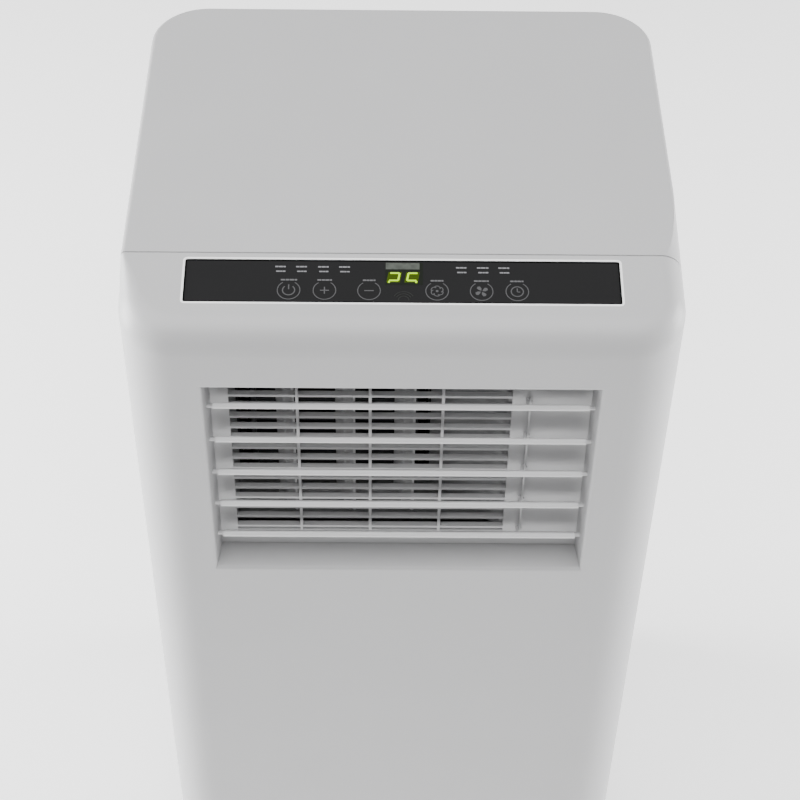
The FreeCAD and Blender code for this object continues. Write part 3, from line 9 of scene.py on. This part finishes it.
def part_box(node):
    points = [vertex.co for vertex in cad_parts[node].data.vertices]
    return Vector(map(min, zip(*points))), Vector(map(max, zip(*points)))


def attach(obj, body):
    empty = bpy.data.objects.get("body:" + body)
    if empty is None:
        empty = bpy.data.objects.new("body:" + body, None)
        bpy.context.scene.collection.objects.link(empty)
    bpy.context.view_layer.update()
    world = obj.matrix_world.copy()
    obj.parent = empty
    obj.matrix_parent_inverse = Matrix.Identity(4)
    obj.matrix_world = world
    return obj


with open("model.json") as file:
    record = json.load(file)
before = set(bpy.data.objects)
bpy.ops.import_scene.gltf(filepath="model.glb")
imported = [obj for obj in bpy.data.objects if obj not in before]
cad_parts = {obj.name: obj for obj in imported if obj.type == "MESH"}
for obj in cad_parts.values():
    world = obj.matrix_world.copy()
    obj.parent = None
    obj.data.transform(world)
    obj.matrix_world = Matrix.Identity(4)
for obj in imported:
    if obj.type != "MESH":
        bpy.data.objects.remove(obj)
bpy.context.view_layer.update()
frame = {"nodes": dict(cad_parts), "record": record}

MM = 0.001
NODES = frame["nodes"]
BLADES = 5


# ---------------------------------------------------------------- sizes of the added pieces
# On the panel, x runs across from the middle and s runs down the slope from the overlay's rear
# edge, both in mm. The angles of an arc are in degrees, clockwise from the top.

PANEL_SLOPE = math.radians(9.3)
INK_HIGH = 0.05             # mm that the print stands off the overlay

KEY_X = (-66.8, -45.8, -19.7, 20.2, 46.3, 67.2)
KEY_S = 22.5
KEY_RING = 6.9
KEY_RING_STROKE = 0.55
KEY_RING_GAP = 32           # either side of the top
KEY_RING_STEPS = 44
SYMBOL_RADIUS = 3.9
SYMBOL_STROKE = 0.7
POWER_GAP = 40              # either side of the top
POWER_STEM = 3.6
POWER_STEM_UP = 2.4
PLUS_TALL = 5.2
PLUS_ARM = 2.2
PLUS_ARM_OUT = 1.5
MINUS_WIDE = 5.6
MODE_RADIUS = 1.9
MODE_CURL = 2.1
MODE_DOT = 0.8
CLOCK_STROKE = 0.65
HAND_STROKE = 0.6
FAN_PETAL = ((0.4, 0.2), (1.6, 1.5), (3.3, 1.9), (4.1, 0.6), (3.4, -0.5), (1.8, -0.4))

KEY_LABEL_S = 14.9
KEY_LABEL_WIDE = (9.6, 8.6, 7.4, 7.6, 8.8, 7.8)
KEY_LABEL_TALL = 1.1
KEY_DASHES = (5, 0.6, 4, 0.5, 5, 0.6, 3)        # dash, gap, dash and so on, as shares of the width
INDICATOR_S = 5.1
INDICATORS = ((-72.1, 6.2), (-59.7, 6.4), (-46.8, 6.2), (-34.3, 6.4), (34.6, 6.2), (47.3, 6.8), (59.8, 6.4))
FIRST_TALL = 1.0
FIRST_DASHES = (4, 0.5, 5, 0.5, 3)
SECOND_TALL = 0.95
SECOND_DASHES = (5, 0.5, 3, 0.5, 4)
SECOND_SHARE = 0.88         # of the first line's width
SECOND_SHIFT = 0.3
SECOND_DROP = 3.5
BORDER_WIDE = 1.0

WINDOW = ((-10.2, 1.6), (11.9, 18.2))
HAZE = ((-10.0, 1.8), (10.0, 6.6))
DIGIT_X = (-5.2, 5.4)
DIGIT_TOP = 8.9
DIGIT_TALL = 6.6
DIGIT_WIDE = 5.4
DIGIT_STROKE = 1.15
DIGIT_LEAN = 0.16
DIGIT_FOOT = 1.4            # how much shows of the lower half, which the window cuts off
DIGIT_FOOT_DROP = 0.45
TOP_SHIFT = 0.6             # shares of the digit's lean that set its bars aside
SIDE_SHIFT = 0.3
FOOT_SHIFT = 0.1
GLOW_X = (-5.0, 5.5)
GLOW_S = 12.6
GLOW_WIDE = 8.0
GLOW_TALL = 7.6
RECEIVER = (0.6, 29.4)
RECEIVER_STROKE = 0.6
RECEIVER_BANDS = ((6.6, 62, 18), (5.0, 62, 18), (3.4, 90, 14))      # radius, reach to each side, steps

RIM_HIGH = 0.46             # mm from the overlay's face to the top of the rim round it
RIM_WIDE = 1.3
RIM_CORNER = 2.6
SEAM_SHADE_RISE = 0.10          # mm from the level of the overlay's face to the seam's strip of painted shade
SEAM_SHADE_WIDE = 0.46
SEAM_SHADE_END = 30             # mm that the strip stops short of the casing's sides

# The filter cloth is in metres.
FILTER_BORDER = 0.006
CLOTH_PITCH = 0.0025
CLOTH_NEAR = 0.0026         # depth of the upright strands behind the frame's front
CLOTH_FAR = 0.0030          # and of the level ones
STRAND = 0.0004


# ---------------------------------------------------------------- materials

GRAIN_HIGH = 0.0002         # metres
ROUGH_SWING = 0.06
PATCH_SPAN = (0.3, 0.7)
LINE_TINT = (0.85, 1.1)
LINE_ROUGH = (0.8, 1.3)
LINE_DEPTH = 0.15


def new_material(name):
    material = bpy.data.materials.new(name)
    material.use_nodes = True
    return material, material.node_tree.nodes, material.node_tree.links


def add(nodes, kind, **settings):
    """A shader node with its inputs and properties set."""
    node = nodes.new(kind)
    for key, value in settings.items():
        if key in node.inputs:
            node.inputs[key].default_value = value
        else:
            setattr(node, key, value)
    return node


def set_inputs(node, values):
    """The same for inputs whose names have spaces."""
    for name, value in values.items():
        node.inputs[name].default_value = value


def tinted(colour, factor):
    return tuple(min(1, c*factor) for c in colour[:3]) + (1,)


def colour_from(material, source, dark, light, span=(0.0, 1.0)):
    """Base colour that runs from dark to light as the source crosses the span."""
    nodes, links = material.node_tree.nodes, material.node_tree.links
    ramp = add(nodes, "ShaderNodeValToRGB")
    for element, position, colour in zip(ramp.color_ramp.elements, span, (dark, light)):
        element.position = position
        element.color = colour
    links.new(source, ramp.inputs["Fac"])
    links.new(ramp.outputs["Color"], nodes["Principled BSDF"].inputs["Base Color"])


def gloss_from(material, source, low, high):
    """Roughness that runs from low to high with the source."""
    nodes, links = material.node_tree.nodes, material.node_tree.links
    gloss = add(nodes, "ShaderNodeMapRange")
    set_inputs(gloss, {"To Min": low, "To Max": high})
    links.new(source, gloss.inputs["Value"])
    links.new(gloss.outputs["Result"], nodes["Principled BSDF"].inputs["Roughness"])


def bump_from(material, source, strength, edge=0.0):
    """Fine relief from the source, over edges that look rounded by a radius in metres."""
    nodes, links = material.node_tree.nodes, material.node_tree.links
    bump = add(nodes, "ShaderNodeBump", Strength=strength, Distance=GRAIN_HIGH)
    links.new(source, bump.inputs["Height"])
    if edge > 0:
        soft = add(nodes, "ShaderNodeBevel", samples=4, Radius=edge)
        links.new(soft.outputs["Normal"], bump.inputs["Normal"])
    links.new(bump.outputs["Normal"], nodes["Principled BSDF"].inputs["Normal"])


def surface(name, colour, rough=0.45, grain=1400, grain_depth=0.06, patch=14, patch_tint=0.03, metal=0.0,
            specular=0.5, edge=0.0, coat=0.0):
    """A moulded or painted finish: fine grain in the bump and gloss, soft patches in the colour.

    grain and patch are the scales of their noises, and edge is a radius in metres.
    """
    material, nodes, links = new_material(name)
    set_inputs(nodes["Principled BSDF"],
               {"Metallic": metal, "Specular IOR Level": specular, "Coat Weight": coat})
    place = add(nodes, "ShaderNodeTexCoord").outputs["Object"]
    patches = add(nodes, "ShaderNodeTexNoise", Scale=patch, Detail=4.0, Roughness=0.55)
    speckle = add(nodes, "ShaderNodeTexNoise", Scale=grain, Detail=2.0)
    for noise in (patches, speckle):
        links.new(place, noise.inputs["Vector"])
    dark, light = tinted(colour, 1 - patch_tint), tinted(colour, 1 + patch_tint)
    colour_from(material, patches.outputs["Fac"], dark, light, PATCH_SPAN)
    gloss_from(material, speckle.outputs["Fac"], rough - ROUGH_SWING, rough + ROUGH_SWING)
    bump_from(material, speckle.outputs["Fac"], grain_depth, edge)
    return material


def brushed(name, colour, rough, along=(1, 1, 60)):
    """Bare metal with fine lines drawn across one direction."""
    material, nodes, links = new_material(name)
    set_inputs(nodes["Principled BSDF"], {"Metallic": 1.0})
    place = add(nodes, "ShaderNodeTexCoord")
    stretch = add(nodes, "ShaderNodeMapping", Scale=along)
    links.new(place.outputs["Object"], stretch.inputs["Vector"])
    lines = add(nodes, "ShaderNodeTexNoise", Scale=120, Detail=5.0)
    links.new(stretch.outputs["Vector"], lines.inputs["Vector"])
    dark, light = (tinted(colour, factor) for factor in LINE_TINT)
    low, high = (rough*factor for factor in LINE_ROUGH)
    colour_from(material, lines.outputs["Fac"], dark, light)
    gloss_from(material, lines.outputs["Fac"], low, high)
    bump_from(material, lines.outputs["Fac"], LINE_DEPTH)
    return material


def glowing(name, colour, strength):
    """A lit segment, dark enough under its light that room light doesn't bleach it."""
    material, nodes, _ = new_material(name)
    set_inputs(nodes["Principled BSDF"],
               {"Base Color": tinted(colour, 0.1), "Specular IOR Level": 0.1, "Emission Color": colour,
                "Emission Strength": strength})
    return material


def print_and_shade_coat(name, colour, specular=0.5):
    """A thin, even layer of print, also used for the overlay's black band of painted shade."""
    return surface(name, colour, rough=0.5, grain=2000, grain_depth=0.02, specular=specular)


CASING = surface("casing_plastic", (0.41, 0.41, 0.415, 1), rough=0.42, grain=1500, grain_depth=0.10,
                 patch_tint=0.012, edge=0.0012)
LOUVRE = surface("louvre_plastic", (0.59, 0.59, 0.595, 1), rough=0.34, grain=900, grain_depth=0.05,
                 patch_tint=0.012, edge=0.0004)
GUARD = surface("outlet_plastic", (0.52, 0.52, 0.525, 1), rough=0.40, grain=900, grain_depth=0.06,
                patch_tint=0.015, edge=0.0008)
INNER = surface("inner_plastic", (0.30, 0.30, 0.305, 1), rough=0.5, grain=500, grain_depth=0.15, patch=25)
# Near-black foam for the blower scroll; its darkness also stands as painted shade for the depths beyond the
# outlet duct
FOAM_AND_PAINTED_SHADE = surface("blower_foam_and_shade", (0.022, 0.022, 0.024, 1), rough=0.8, grain=320, grain_depth=0.5,
                     patch=90, patch_tint=0.2)
FAN = surface("fan_plastic", (0.016, 0.017, 0.018, 1), rough=0.45, grain=600, grain_depth=0.1)
OVERLAY = surface("overlay_gloss", (0.0120, 0.0120, 0.0125, 1), rough=0.25, grain=2500, grain_depth=0.02,
                  specular=0.145)
BOARD = surface("circuit_board", (0.02, 0.13, 0.05, 1), rough=0.35, grain=350, grain_depth=0.3, patch=180,
                patch_tint=0.35)
SPRING = brushed("spring_steel", (0.55, 0.55, 0.56, 1), 0.3)
FINS = brushed("fin_aluminium", (0.75, 0.76, 0.77, 1), 0.35, along=(40, 1, 1))
COPPER = brushed("copper", (0.70, 0.33, 0.20, 1), 0.28, along=(6, 6, 6))
ENAMEL = surface("black_enamel", (0.012, 0.012, 0.013, 1), rough=0.3, grain=220, grain_depth=0.25, patch=30,
                 patch_tint=0.2, coat=0.2)
ZINC = surface("zinc_steel", (0.50, 0.51, 0.52, 1), rough=0.38, grain=160, grain_depth=0.08, patch=70,
               patch_tint=0.16, metal=1.0)
RUBBER = surface("black_rubber", (0.018, 0.018, 0.018, 1), rough=0.75, grain=900, grain_depth=0.4)
CASTER = surface("caster_black", (0.020, 0.020, 0.021, 1), rough=0.4, grain=900, grain_depth=0.2, edge=0.0005)
TREAD = surface("caster_tread", (0.045, 0.045, 0.047, 1), rough=0.6, grain=700, grain_depth=0.35, edge=0.0005)
CLOTH = surface("filter_cloth", (0.045, 0.045, 0.048, 1), rough=0.6, grain=900, grain_depth=0.2)
# Near-black painted shade for the strip in the seam between the top cover and the front casing
SEAM_SHADE_PAINT = surface("seam_painted_shade", (0.06, 0.06, 0.06, 1), rough=0.8, grain=900, grain_depth=0.2)
# Near-white painted highlight for the raised edge round the overlay
PAINTED_HIGHLIGHT = surface("panel_highlight_rim", (0.86, 0.86, 0.86, 1), rough=0.3, grain=1500, grain_depth=0.05, patch_tint=0.02)
DISPLAY_DARK = surface("display_window", (0.010, 0.012, 0.009, 1), rough=0.2, grain=2000, grain_depth=0.01,
                       specular=0.12)
DISPLAY_HAZE = surface("display_haze", (0.050, 0.057, 0.048, 1), rough=0.4, grain=600, grain_depth=0.1,
                       patch=300, patch_tint=0.35)
KEY_INK = print_and_shade_coat("key_ink", (0.050, 0.050, 0.053, 1))
KEY_LABEL_INK = print_and_shade_coat("key_label_ink", (0.085, 0.085, 0.09, 1))
LABEL_INK = print_and_shade_coat("label_ink", (0.17, 0.17, 0.18, 1))
# Black painted shade for the band round the overlay's edge
EDGE_SHADE = print_and_shade_coat("overlay_edge_shade", (0.0015, 0.0015, 0.0015, 1), specular=0.03)
RECEIVER_INK = print_and_shade_coat("receiver_ink", (0.014, 0.015, 0.014, 1), specular=0.15)
SEGMENT = glowing("display_segment", (0.54, 0.95, 0.0, 1), 1.7)
GLOW = glowing("display_glow", (0.30, 0.52, 0.0, 1), 0.012)

SLOT_FINISH = {
    "casing_plastic": CASING, "outlet_plastic": GUARD, "inner_plastic": INNER, "fan_plastic": FAN,
    "overlay_gloss": OVERLAY, "circuit_board": BOARD, "spring_steel": SPRING, "fin_aluminium": FINS,
    "copper": COPPER, "black_enamel": ENAMEL, "zinc_steel": ZINC, "black_rubber": RUBBER,
    "caster_black": CASTER, "caster_tread": TREAD,
}
NODE_FINISH = {f"louvre_blade_{i}": LOUVRE for i in range(1, BLADES + 1)}
NODE_FINISH.update({"louvre_link": GUARD, "blower_scroll": FOAM_AND_PAINTED_SHADE})


def paint_nodes():
    """Every carried-over node takes its own finish if it has one, or else the finish of its slot."""
    for part in frame["record"]["subparts"]:
        node = part["node"]
        for holder in NODES[node].material_slots:
            holder.material = NODE_FINISH.get(node, SLOT_FINISH[part["material_slot"]])


# ---------------------------------------------------------------- pieces

def mesh_piece(name, verts, faces, material, body):
    mesh = bpy.data.meshes.new(name)
    mesh.from_pydata([tuple(v) for v in verts], [], faces)
    mesh.validate()
    mesh.update()
    obj = bpy.data.objects.new(name, mesh)
    bpy.context.scene.collection.objects.link(obj)
    mesh.materials.append(material)
    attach(obj, body)
    return obj


class Sheet:
    """The sloping face of the control overlay, worked out from the box that its slab fills."""

    def __init__(self):
        low, high = (Vector(v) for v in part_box("control_overlay"))
        tall, deep = high.z - low.z, high.y - low.y
        sine, cosine = math.sin(PANEL_SLOPE), math.cos(PANEL_SLOPE)
        thick = (tall*cosine - deep*sine)/math.cos(2*PANEL_SLOPE)
        self.down = Vector((0, -cosine, -sine))
        self.out = Vector((0, -sine, cosine))
        self.start = Vector((0, high.y - thick*sine, high.z))
        self.half = (high.x - low.x)/2/MM
        self.long = (deep - thick*sine)/cosine/MM

    def point(self, x, s, rise):
        return self.start + Vector((x*MM, 0, 0)) + self.down*(s*MM) + self.out*(rise*MM)


sheet = Sheet()


class Print:
    """Flat shapes on the overlay's face, gathered into one thin mesh."""

    def __init__(self, base=0.0, high=INK_HIGH):
        self.verts = []
        self.faces = []
        self.base = base
        self.high = high

    def polygon(self, points):
        """A closed outline of (x, s) points, as a thin slab."""
        count = len(points)
        first = len(self.verts)
        for rise in (self.base, self.base + self.high):
            for x, s in points:
                self.verts.append(sheet.point(x, s, rise))
        self.faces.append([first + count + i for i in range(count)])
        self.faces.append([first + i for i in reversed(range(count))])
        for i in range(count):
            j = (i + 1) % count
            self.faces.append([first + i, first + j, first + count + j, first + count + i])

    def oblong(self, corners):
        """An upright oblong between its upper left and lower right corners."""
        (left, top), (right, bottom) = corners
        self.polygon([(left, top), (left, bottom), (right, bottom), (right, top)])

    def bar(self, x, s, wide, tall, lean=0.0):
        """A bar about its middle, leaning to the right by a share of its height."""
        self.polygon([(x - wide/2 + lean*tall/2, s - tall/2), (x - wide/2 - lean*tall/2, s + tall/2),
                      (x + wide/2 - lean*tall/2, s + tall/2), (x + wide/2 + lean*tall/2, s - tall/2)])

    def arc(self, x, s, radius, stroke, start, end, steps=32):
        """A band of the given outer radius, from one angle to another."""
        outer, inner = [], []
        for i in range(steps + 1):
            a = math.radians(start + (end - start)*i/steps)
            outer.append((x + radius*math.sin(a), s - radius*math.cos(a)))
            inner.append((x + (radius - stroke)*math.sin(a), s - (radius - stroke)*math.cos(a)))
        for i in range(steps):
            self.polygon([outer[i], inner[i], inner[i + 1], outer[i + 1]])

    def disc(self, x, s, radius, steps=24):
        self.polygon([(x + radius*math.cos(2*math.pi*i/steps), s - radius*math.sin(2*math.pi*i/steps))
                      for i in range(steps)])

    def finish(self, name, material):
        """The gathered shapes as one piece, with every face turned outwards."""
        obj = mesh_piece(name, self.verts, self.faces, material, "chassis")
        bm = bmesh.new()
        bm.from_mesh(obj.data)
        bmesh.ops.recalc_face_normals(bm, faces=bm.faces)
        bm.to_mesh(obj.data)
        bm.free()


# ---------------------------------------------------------------- key symbols

def power_symbol(marks, x):
    marks.arc(x, KEY_S, SYMBOL_RADIUS, SYMBOL_STROKE, POWER_GAP, 360 - POWER_GAP)
    marks.bar(x, KEY_S - POWER_STEM_UP, SYMBOL_STROKE, POWER_STEM)


def plus_symbol(marks, x):
    """One upright, and an arm at each side that just meets it."""
    marks.bar(x, KEY_S, SYMBOL_STROKE, PLUS_TALL)
    for side in (-1, 1):
        marks.bar(x + side*PLUS_ARM_OUT, KEY_S, PLUS_ARM, SYMBOL_STROKE)


def minus_symbol(marks, x):
    marks.bar(x, KEY_S, MINUS_WIDE, SYMBOL_STROKE)


def mode_symbol(marks, x):
    """Six curls about a dot."""
    for turn in range(0, 360, 60):
        angle = math.radians(turn)
        marks.arc(x + MODE_RADIUS*math.sin(angle), KEY_S - MODE_RADIUS*math.cos(angle), MODE_CURL,
                KEY_RING_STROKE, turn - 60, turn + 100, 10)
    marks.disc(x, KEY_S, MODE_DOT)


def fan_symbol(marks, x):
    """Four petals, each drawn along and across its own direction."""
    for turn in range(45, 405, 90):
        angle = math.radians(turn)
        out = (math.sin(angle), -math.cos(angle))
        side = (math.cos(angle), math.sin(angle))
        petal = []
        for along, across in FAN_PETAL:
            petal.append((x + out[0]*along + side[0]*across, KEY_S + out[1]*along + side[1]*across))
        marks.polygon(petal)


def timer_symbol(marks, x):
    """A clock face with its two hands."""
    marks.arc(x, KEY_S, SYMBOL_RADIUS, CLOCK_STROKE, 0, 360)
    marks.bar(x, KEY_S - 1.1, HAND_STROKE, 2.6)
    marks.bar(x + 0.9, KEY_S + 0.3, 1.6, HAND_STROKE)


def key_symbols():
    """An open ring round each key, and a generic symbol in it."""
    marks = Print()
    for x in KEY_X:
        marks.arc(x, KEY_S, KEY_RING, KEY_RING_STROKE, KEY_RING_GAP, 360 - KEY_RING_GAP, KEY_RING_STEPS)
    symbols = (power_symbol, plus_symbol, minus_symbol, mode_symbol, fan_symbol, timer_symbol)
    for x, symbol in zip(KEY_X, symbols):
        symbol(marks, x)
    marks.finish("key_symbols", KEY_INK)


# ---------------------------------------------------------------- labels, edges and display

def word(marks, x, s, wide, tall, pattern):
    """A row of short dashes in place of a word in print."""
    unit = wide/sum(pattern)
    at = x - wide/2
    for i, part in enumerate(pattern):
        if i % 2 == 0:
            marks.bar(at + part*unit/2, s, part*unit, tall)
        at += part*unit


def labels():
    """Generic dashes above each key, and a pair of lines of them at each indicator."""
    marks = Print()
    for x, wide in zip(KEY_X, KEY_LABEL_WIDE):
        word(marks, x, KEY_LABEL_S, wide, KEY_LABEL_TALL, KEY_DASHES)
    marks.finish("key_labels", KEY_LABEL_INK)
    marks = Print()
    for x, wide in INDICATORS:
        word(marks, x, INDICATOR_S, wide, FIRST_TALL, FIRST_DASHES)
        word(marks, x + SECOND_SHIFT, INDICATOR_S + SECOND_DROP, wide*SECOND_SHARE, SECOND_TALL, SECOND_DASHES)
    marks.finish("indicator_labels", LABEL_INK)


def overlay_border():
    """A black band round the overlay's edge: painted shade of the narrow gap between the overlay and its
    recess.
    """
    marks = Print()
    half, long, wide = sheet.half, sheet.long, BORDER_WIDE
    marks.bar(0, wide/2, 2*half, wide)
    marks.bar(0, long - wide/2, 2*half, wide)
    for side in (-1, 1):
        marks.bar(side*(half - wide/2), long/2, wide, long - 2*wide)
    marks.finish("overlay_border", EDGE_SHADE)


def panel_highlight_rim():
    """The moulded edge round the overlay, with small round corners, coloured near white as a painted
    highlight.
    """
    rim = Print(0.0, RIM_HIGH)
    half, long = sheet.half + RIM_WIDE, sheet.long + RIM_WIDE
    for s in (-RIM_WIDE/2, long - RIM_WIDE/2):
        rim.bar(0, s, 2*(half - RIM_CORNER), RIM_WIDE)
    tall = sheet.long + 2*RIM_WIDE - 2*RIM_CORNER
    for side in (-1, 1):
        rim.bar(side*(half - RIM_WIDE/2), sheet.long/2, RIM_WIDE, tall)
        for s, turn in ((RIM_CORNER - RIM_WIDE, 0), (long - RIM_CORNER, 90)):
            start = turn if side > 0 else 270 - turn
            rim.arc(side*(half - RIM_CORNER), s, RIM_CORNER, RIM_WIDE, start, start + 90, 8)
    rim.finish("panel_highlight_rim", PAINTED_HIGHLIGHT)


def seam_shade_strip():
    """A dark strip of painted shade laid in the gap between the top cover and the front casing."""
    cover, front = (Vector(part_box(name)[0]) for name in ("top_cover", "front_casing"))
    edge = (sheet.start.y - cover.y)/sheet.down.y/MM
    strip = Print(SEAM_SHADE_RISE)
    strip.bar(0, -edge - SEAM_SHADE_WIDE/2, 2*(abs(front.x)/MM - SEAM_SHADE_END), SEAM_SHADE_WIDE)
    strip.finish("seam_shade_strip", SEAM_SHADE_PAINT)


def digit(light, x, flank):
    """The upper half of a leaning digit with one upright, and the stub of the other below it."""
    shift = DIGIT_LEAN*DIGIT_TALL
    middle = DIGIT_TOP + DIGIT_TALL - DIGIT_STROKE
    light.bar(x + shift*TOP_SHIFT, DIGIT_TOP + DIGIT_STROKE/2, DIGIT_WIDE, DIGIT_STROKE)
    light.bar(x, middle + DIGIT_STROKE/2, DIGIT_WIDE, DIGIT_STROKE)
    light.bar(x + flank + shift*SIDE_SHIFT, DIGIT_TOP + DIGIT_TALL/2, DIGIT_STROKE,
              DIGIT_TALL - DIGIT_STROKE, DIGIT_LEAN)
    light.bar(x - flank - shift*FOOT_SHIFT, middle + DIGIT_STROKE + DIGIT_FOOT_DROP, DIGIT_STROKE,
              DIGIT_FOOT, DIGIT_LEAN)


def display():
    """The display window: a haze of light along its top, and two digits cut off by its lower edge."""
    window = Print()
    window.oblong(WINDOW)
    window.finish("display_window", DISPLAY_DARK)
    haze = Print(INK_HIGH)
    haze.oblong(HAZE)
    haze.finish("display_haze", DISPLAY_HAZE)
    glow = Print(INK_HIGH)
    for x in GLOW_X:
        glow.bar(x, GLOW_S, GLOW_WIDE, GLOW_TALL, DIGIT_LEAN)
    glow.finish("display_glow", GLOW)
    light = Print(2*INK_HIGH)
    for x, flank in zip(DIGIT_X, (DIGIT_WIDE/2, -DIGIT_WIDE/2)):
        digit(light, x, flank)
    light.finish("display_digits", SEGMENT)


def receiver_symbol():
    """Three nested bands above the remote control's receiver."""
    signal = Print()
    for radius, reach, steps in RECEIVER_BANDS:
        signal.arc(*RECEIVER, radius, RECEIVER_STROKE, -reach, reach, steps)
    signal.finish("receiver_symbol", RECEIVER_INK)


# ---------------------------------------------------------------- filters

def filter_mesh(which):
    """The woven filter cloth: fine strands both ways across the frame's opening."""
    low, high = (Vector(v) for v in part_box(f"{which}_filter"))
    left, right = low.x + FILTER_BORDER, high.x - FILTER_BORDER
    bottom, top = low.z + FILTER_BORDER, high.z - FILTER_BORDER
    corners = ((-1, -1), (1, -1), (1, 1), (-1, 1))
    verts, faces = [], []
    for axis, start, end, ends, depth in ((0, left, right, (bottom, top), CLOTH_NEAR),
                                          (2, bottom, top, (left, right), CLOTH_FAR)):
        for i in range(1, int((end - start)/CLOTH_PITCH)):
            first = len(verts)
            for end_at in ends:
                for side, rise in corners:
                    point = [0, low.y + depth + rise*STRAND/2, 0]
                    point[axis] = start + i*CLOTH_PITCH + side*STRAND/2
                    point[2 - axis] = end_at
                    verts.append(point)
            near = [first + j for j in range(4)]
            far = [first + 4 + j for j in range(4)]
            faces += [near[::-1], far]
            faces += [[near[j], near[(j + 1) % 4], far[(j + 1) % 4], far[j]] for j in range(4)]
    mesh_piece(f"{which}_filter_cloth", verts, faces, CLOTH, f"{which}_intake")


# ---------------------------------------------------------------- setting

FLOOR_WIDE = 12             # metres
WHITE = (1, 1, 1, 1)
PAPER = (0.93, 0.93, 0.93, 1)
PAPER_GLOW = 0.52
WORLD_LIGHT = 0.63
LIGHT_AIM = Vector((0, 0, 0.45))
# name, place, size in metres and power in watts
LIGHTS = (
    ("overhead", (0.0, -0.5, 2.4), (2.0, 1.6), 46),
    ("left_panel", (-2.0, 0.25, 0.8), (0.9, 1.5), 140),
    ("right_panel", (2.0, 0.25, 0.8), (0.9, 1.5), 80),
)
CAMERA_AT = (-0.0114, -0.9385, 1.45325)
CAMERA_YAW = 0.764          # degrees, as are the two below
CAMERA_PITCH = 46.485
CAMERA_ROLL = 0.939
SENSOR_WIDE = 36            # mm
LENS = 86.04                # mm


def studio_floor():
    """A pale seamless floor that glows a little, as a lit paper sweep does."""
    bpy.ops.mesh.primitive_plane_add(size=FLOOR_WIDE, location=(0, 0, 0))
    floor = bpy.context.object
    floor.name = "studio_floor"
    material, nodes, _ = new_material("studio_paper")
    set_inputs(nodes["Principled BSDF"],
               {"Base Color": PAPER, "Roughness": 0.9, "Emission Color": WHITE,
                "Emission Strength": PAPER_GLOW})
    floor.data.materials.append(material)


def studio_lights():
    """Soft overhead and side panels in an even pale world."""
    world = bpy.data.worlds.new("studio")
    bpy.context.scene.world = world
    world.use_nodes = True
    set_inputs(world.node_tree.nodes["Background"], {"Color": WHITE, "Strength": WORLD_LIGHT})
    for name, at, size, power in LIGHTS:
        lamp = bpy.data.lights.new(name, "AREA")
        lamp.shape = "RECTANGLE"
        lamp.size, lamp.size_y = size
        lamp.energy = power
        obj = bpy.data.objects.new(name, lamp)
        obj.location = at
        obj.rotation_mode = "QUATERNION"
        obj.rotation_quaternion = (LIGHT_AIM - Vector(at)).to_track_quat("-Z", "Y")
        bpy.context.scene.collection.objects.link(obj)


def camera():
    """The viewpoint: above the front, looking down at about 46 degrees."""
    data = bpy.data.cameras.new("camera")
    data.sensor_width = SENSOR_WIDE
    data.lens = LENS
    yaw, pitch, roll = (math.radians(a) for a in (CAMERA_YAW, CAMERA_PITCH, CAMERA_ROLL))
    forward = Vector((math.sin(yaw)*math.cos(pitch), math.cos(yaw)*math.cos(pitch), -math.sin(pitch)))
    level = Vector((math.cos(yaw), -math.sin(yaw), 0))
    up = level.cross(forward)
    right = level*math.cos(roll) + up*math.sin(roll)
    up = up*math.cos(roll) - level*math.sin(roll)
    turn = Matrix((right, up, -forward)).transposed()
    obj = bpy.data.objects.new("camera", data)
    obj.matrix_world = Matrix.Translation(CAMERA_AT) @ turn.to_4x4()
    bpy.context.scene.collection.objects.link(obj)
    bpy.context.scene.camera = obj


paint_nodes()
key_symbols()
labels()
overlay_border()
panel_highlight_rim()
seam_shade_strip()
display()
receiver_symbol()
filter_mesh("upper")
filter_mesh("lower")
studio_floor()
studio_lights()
camera()
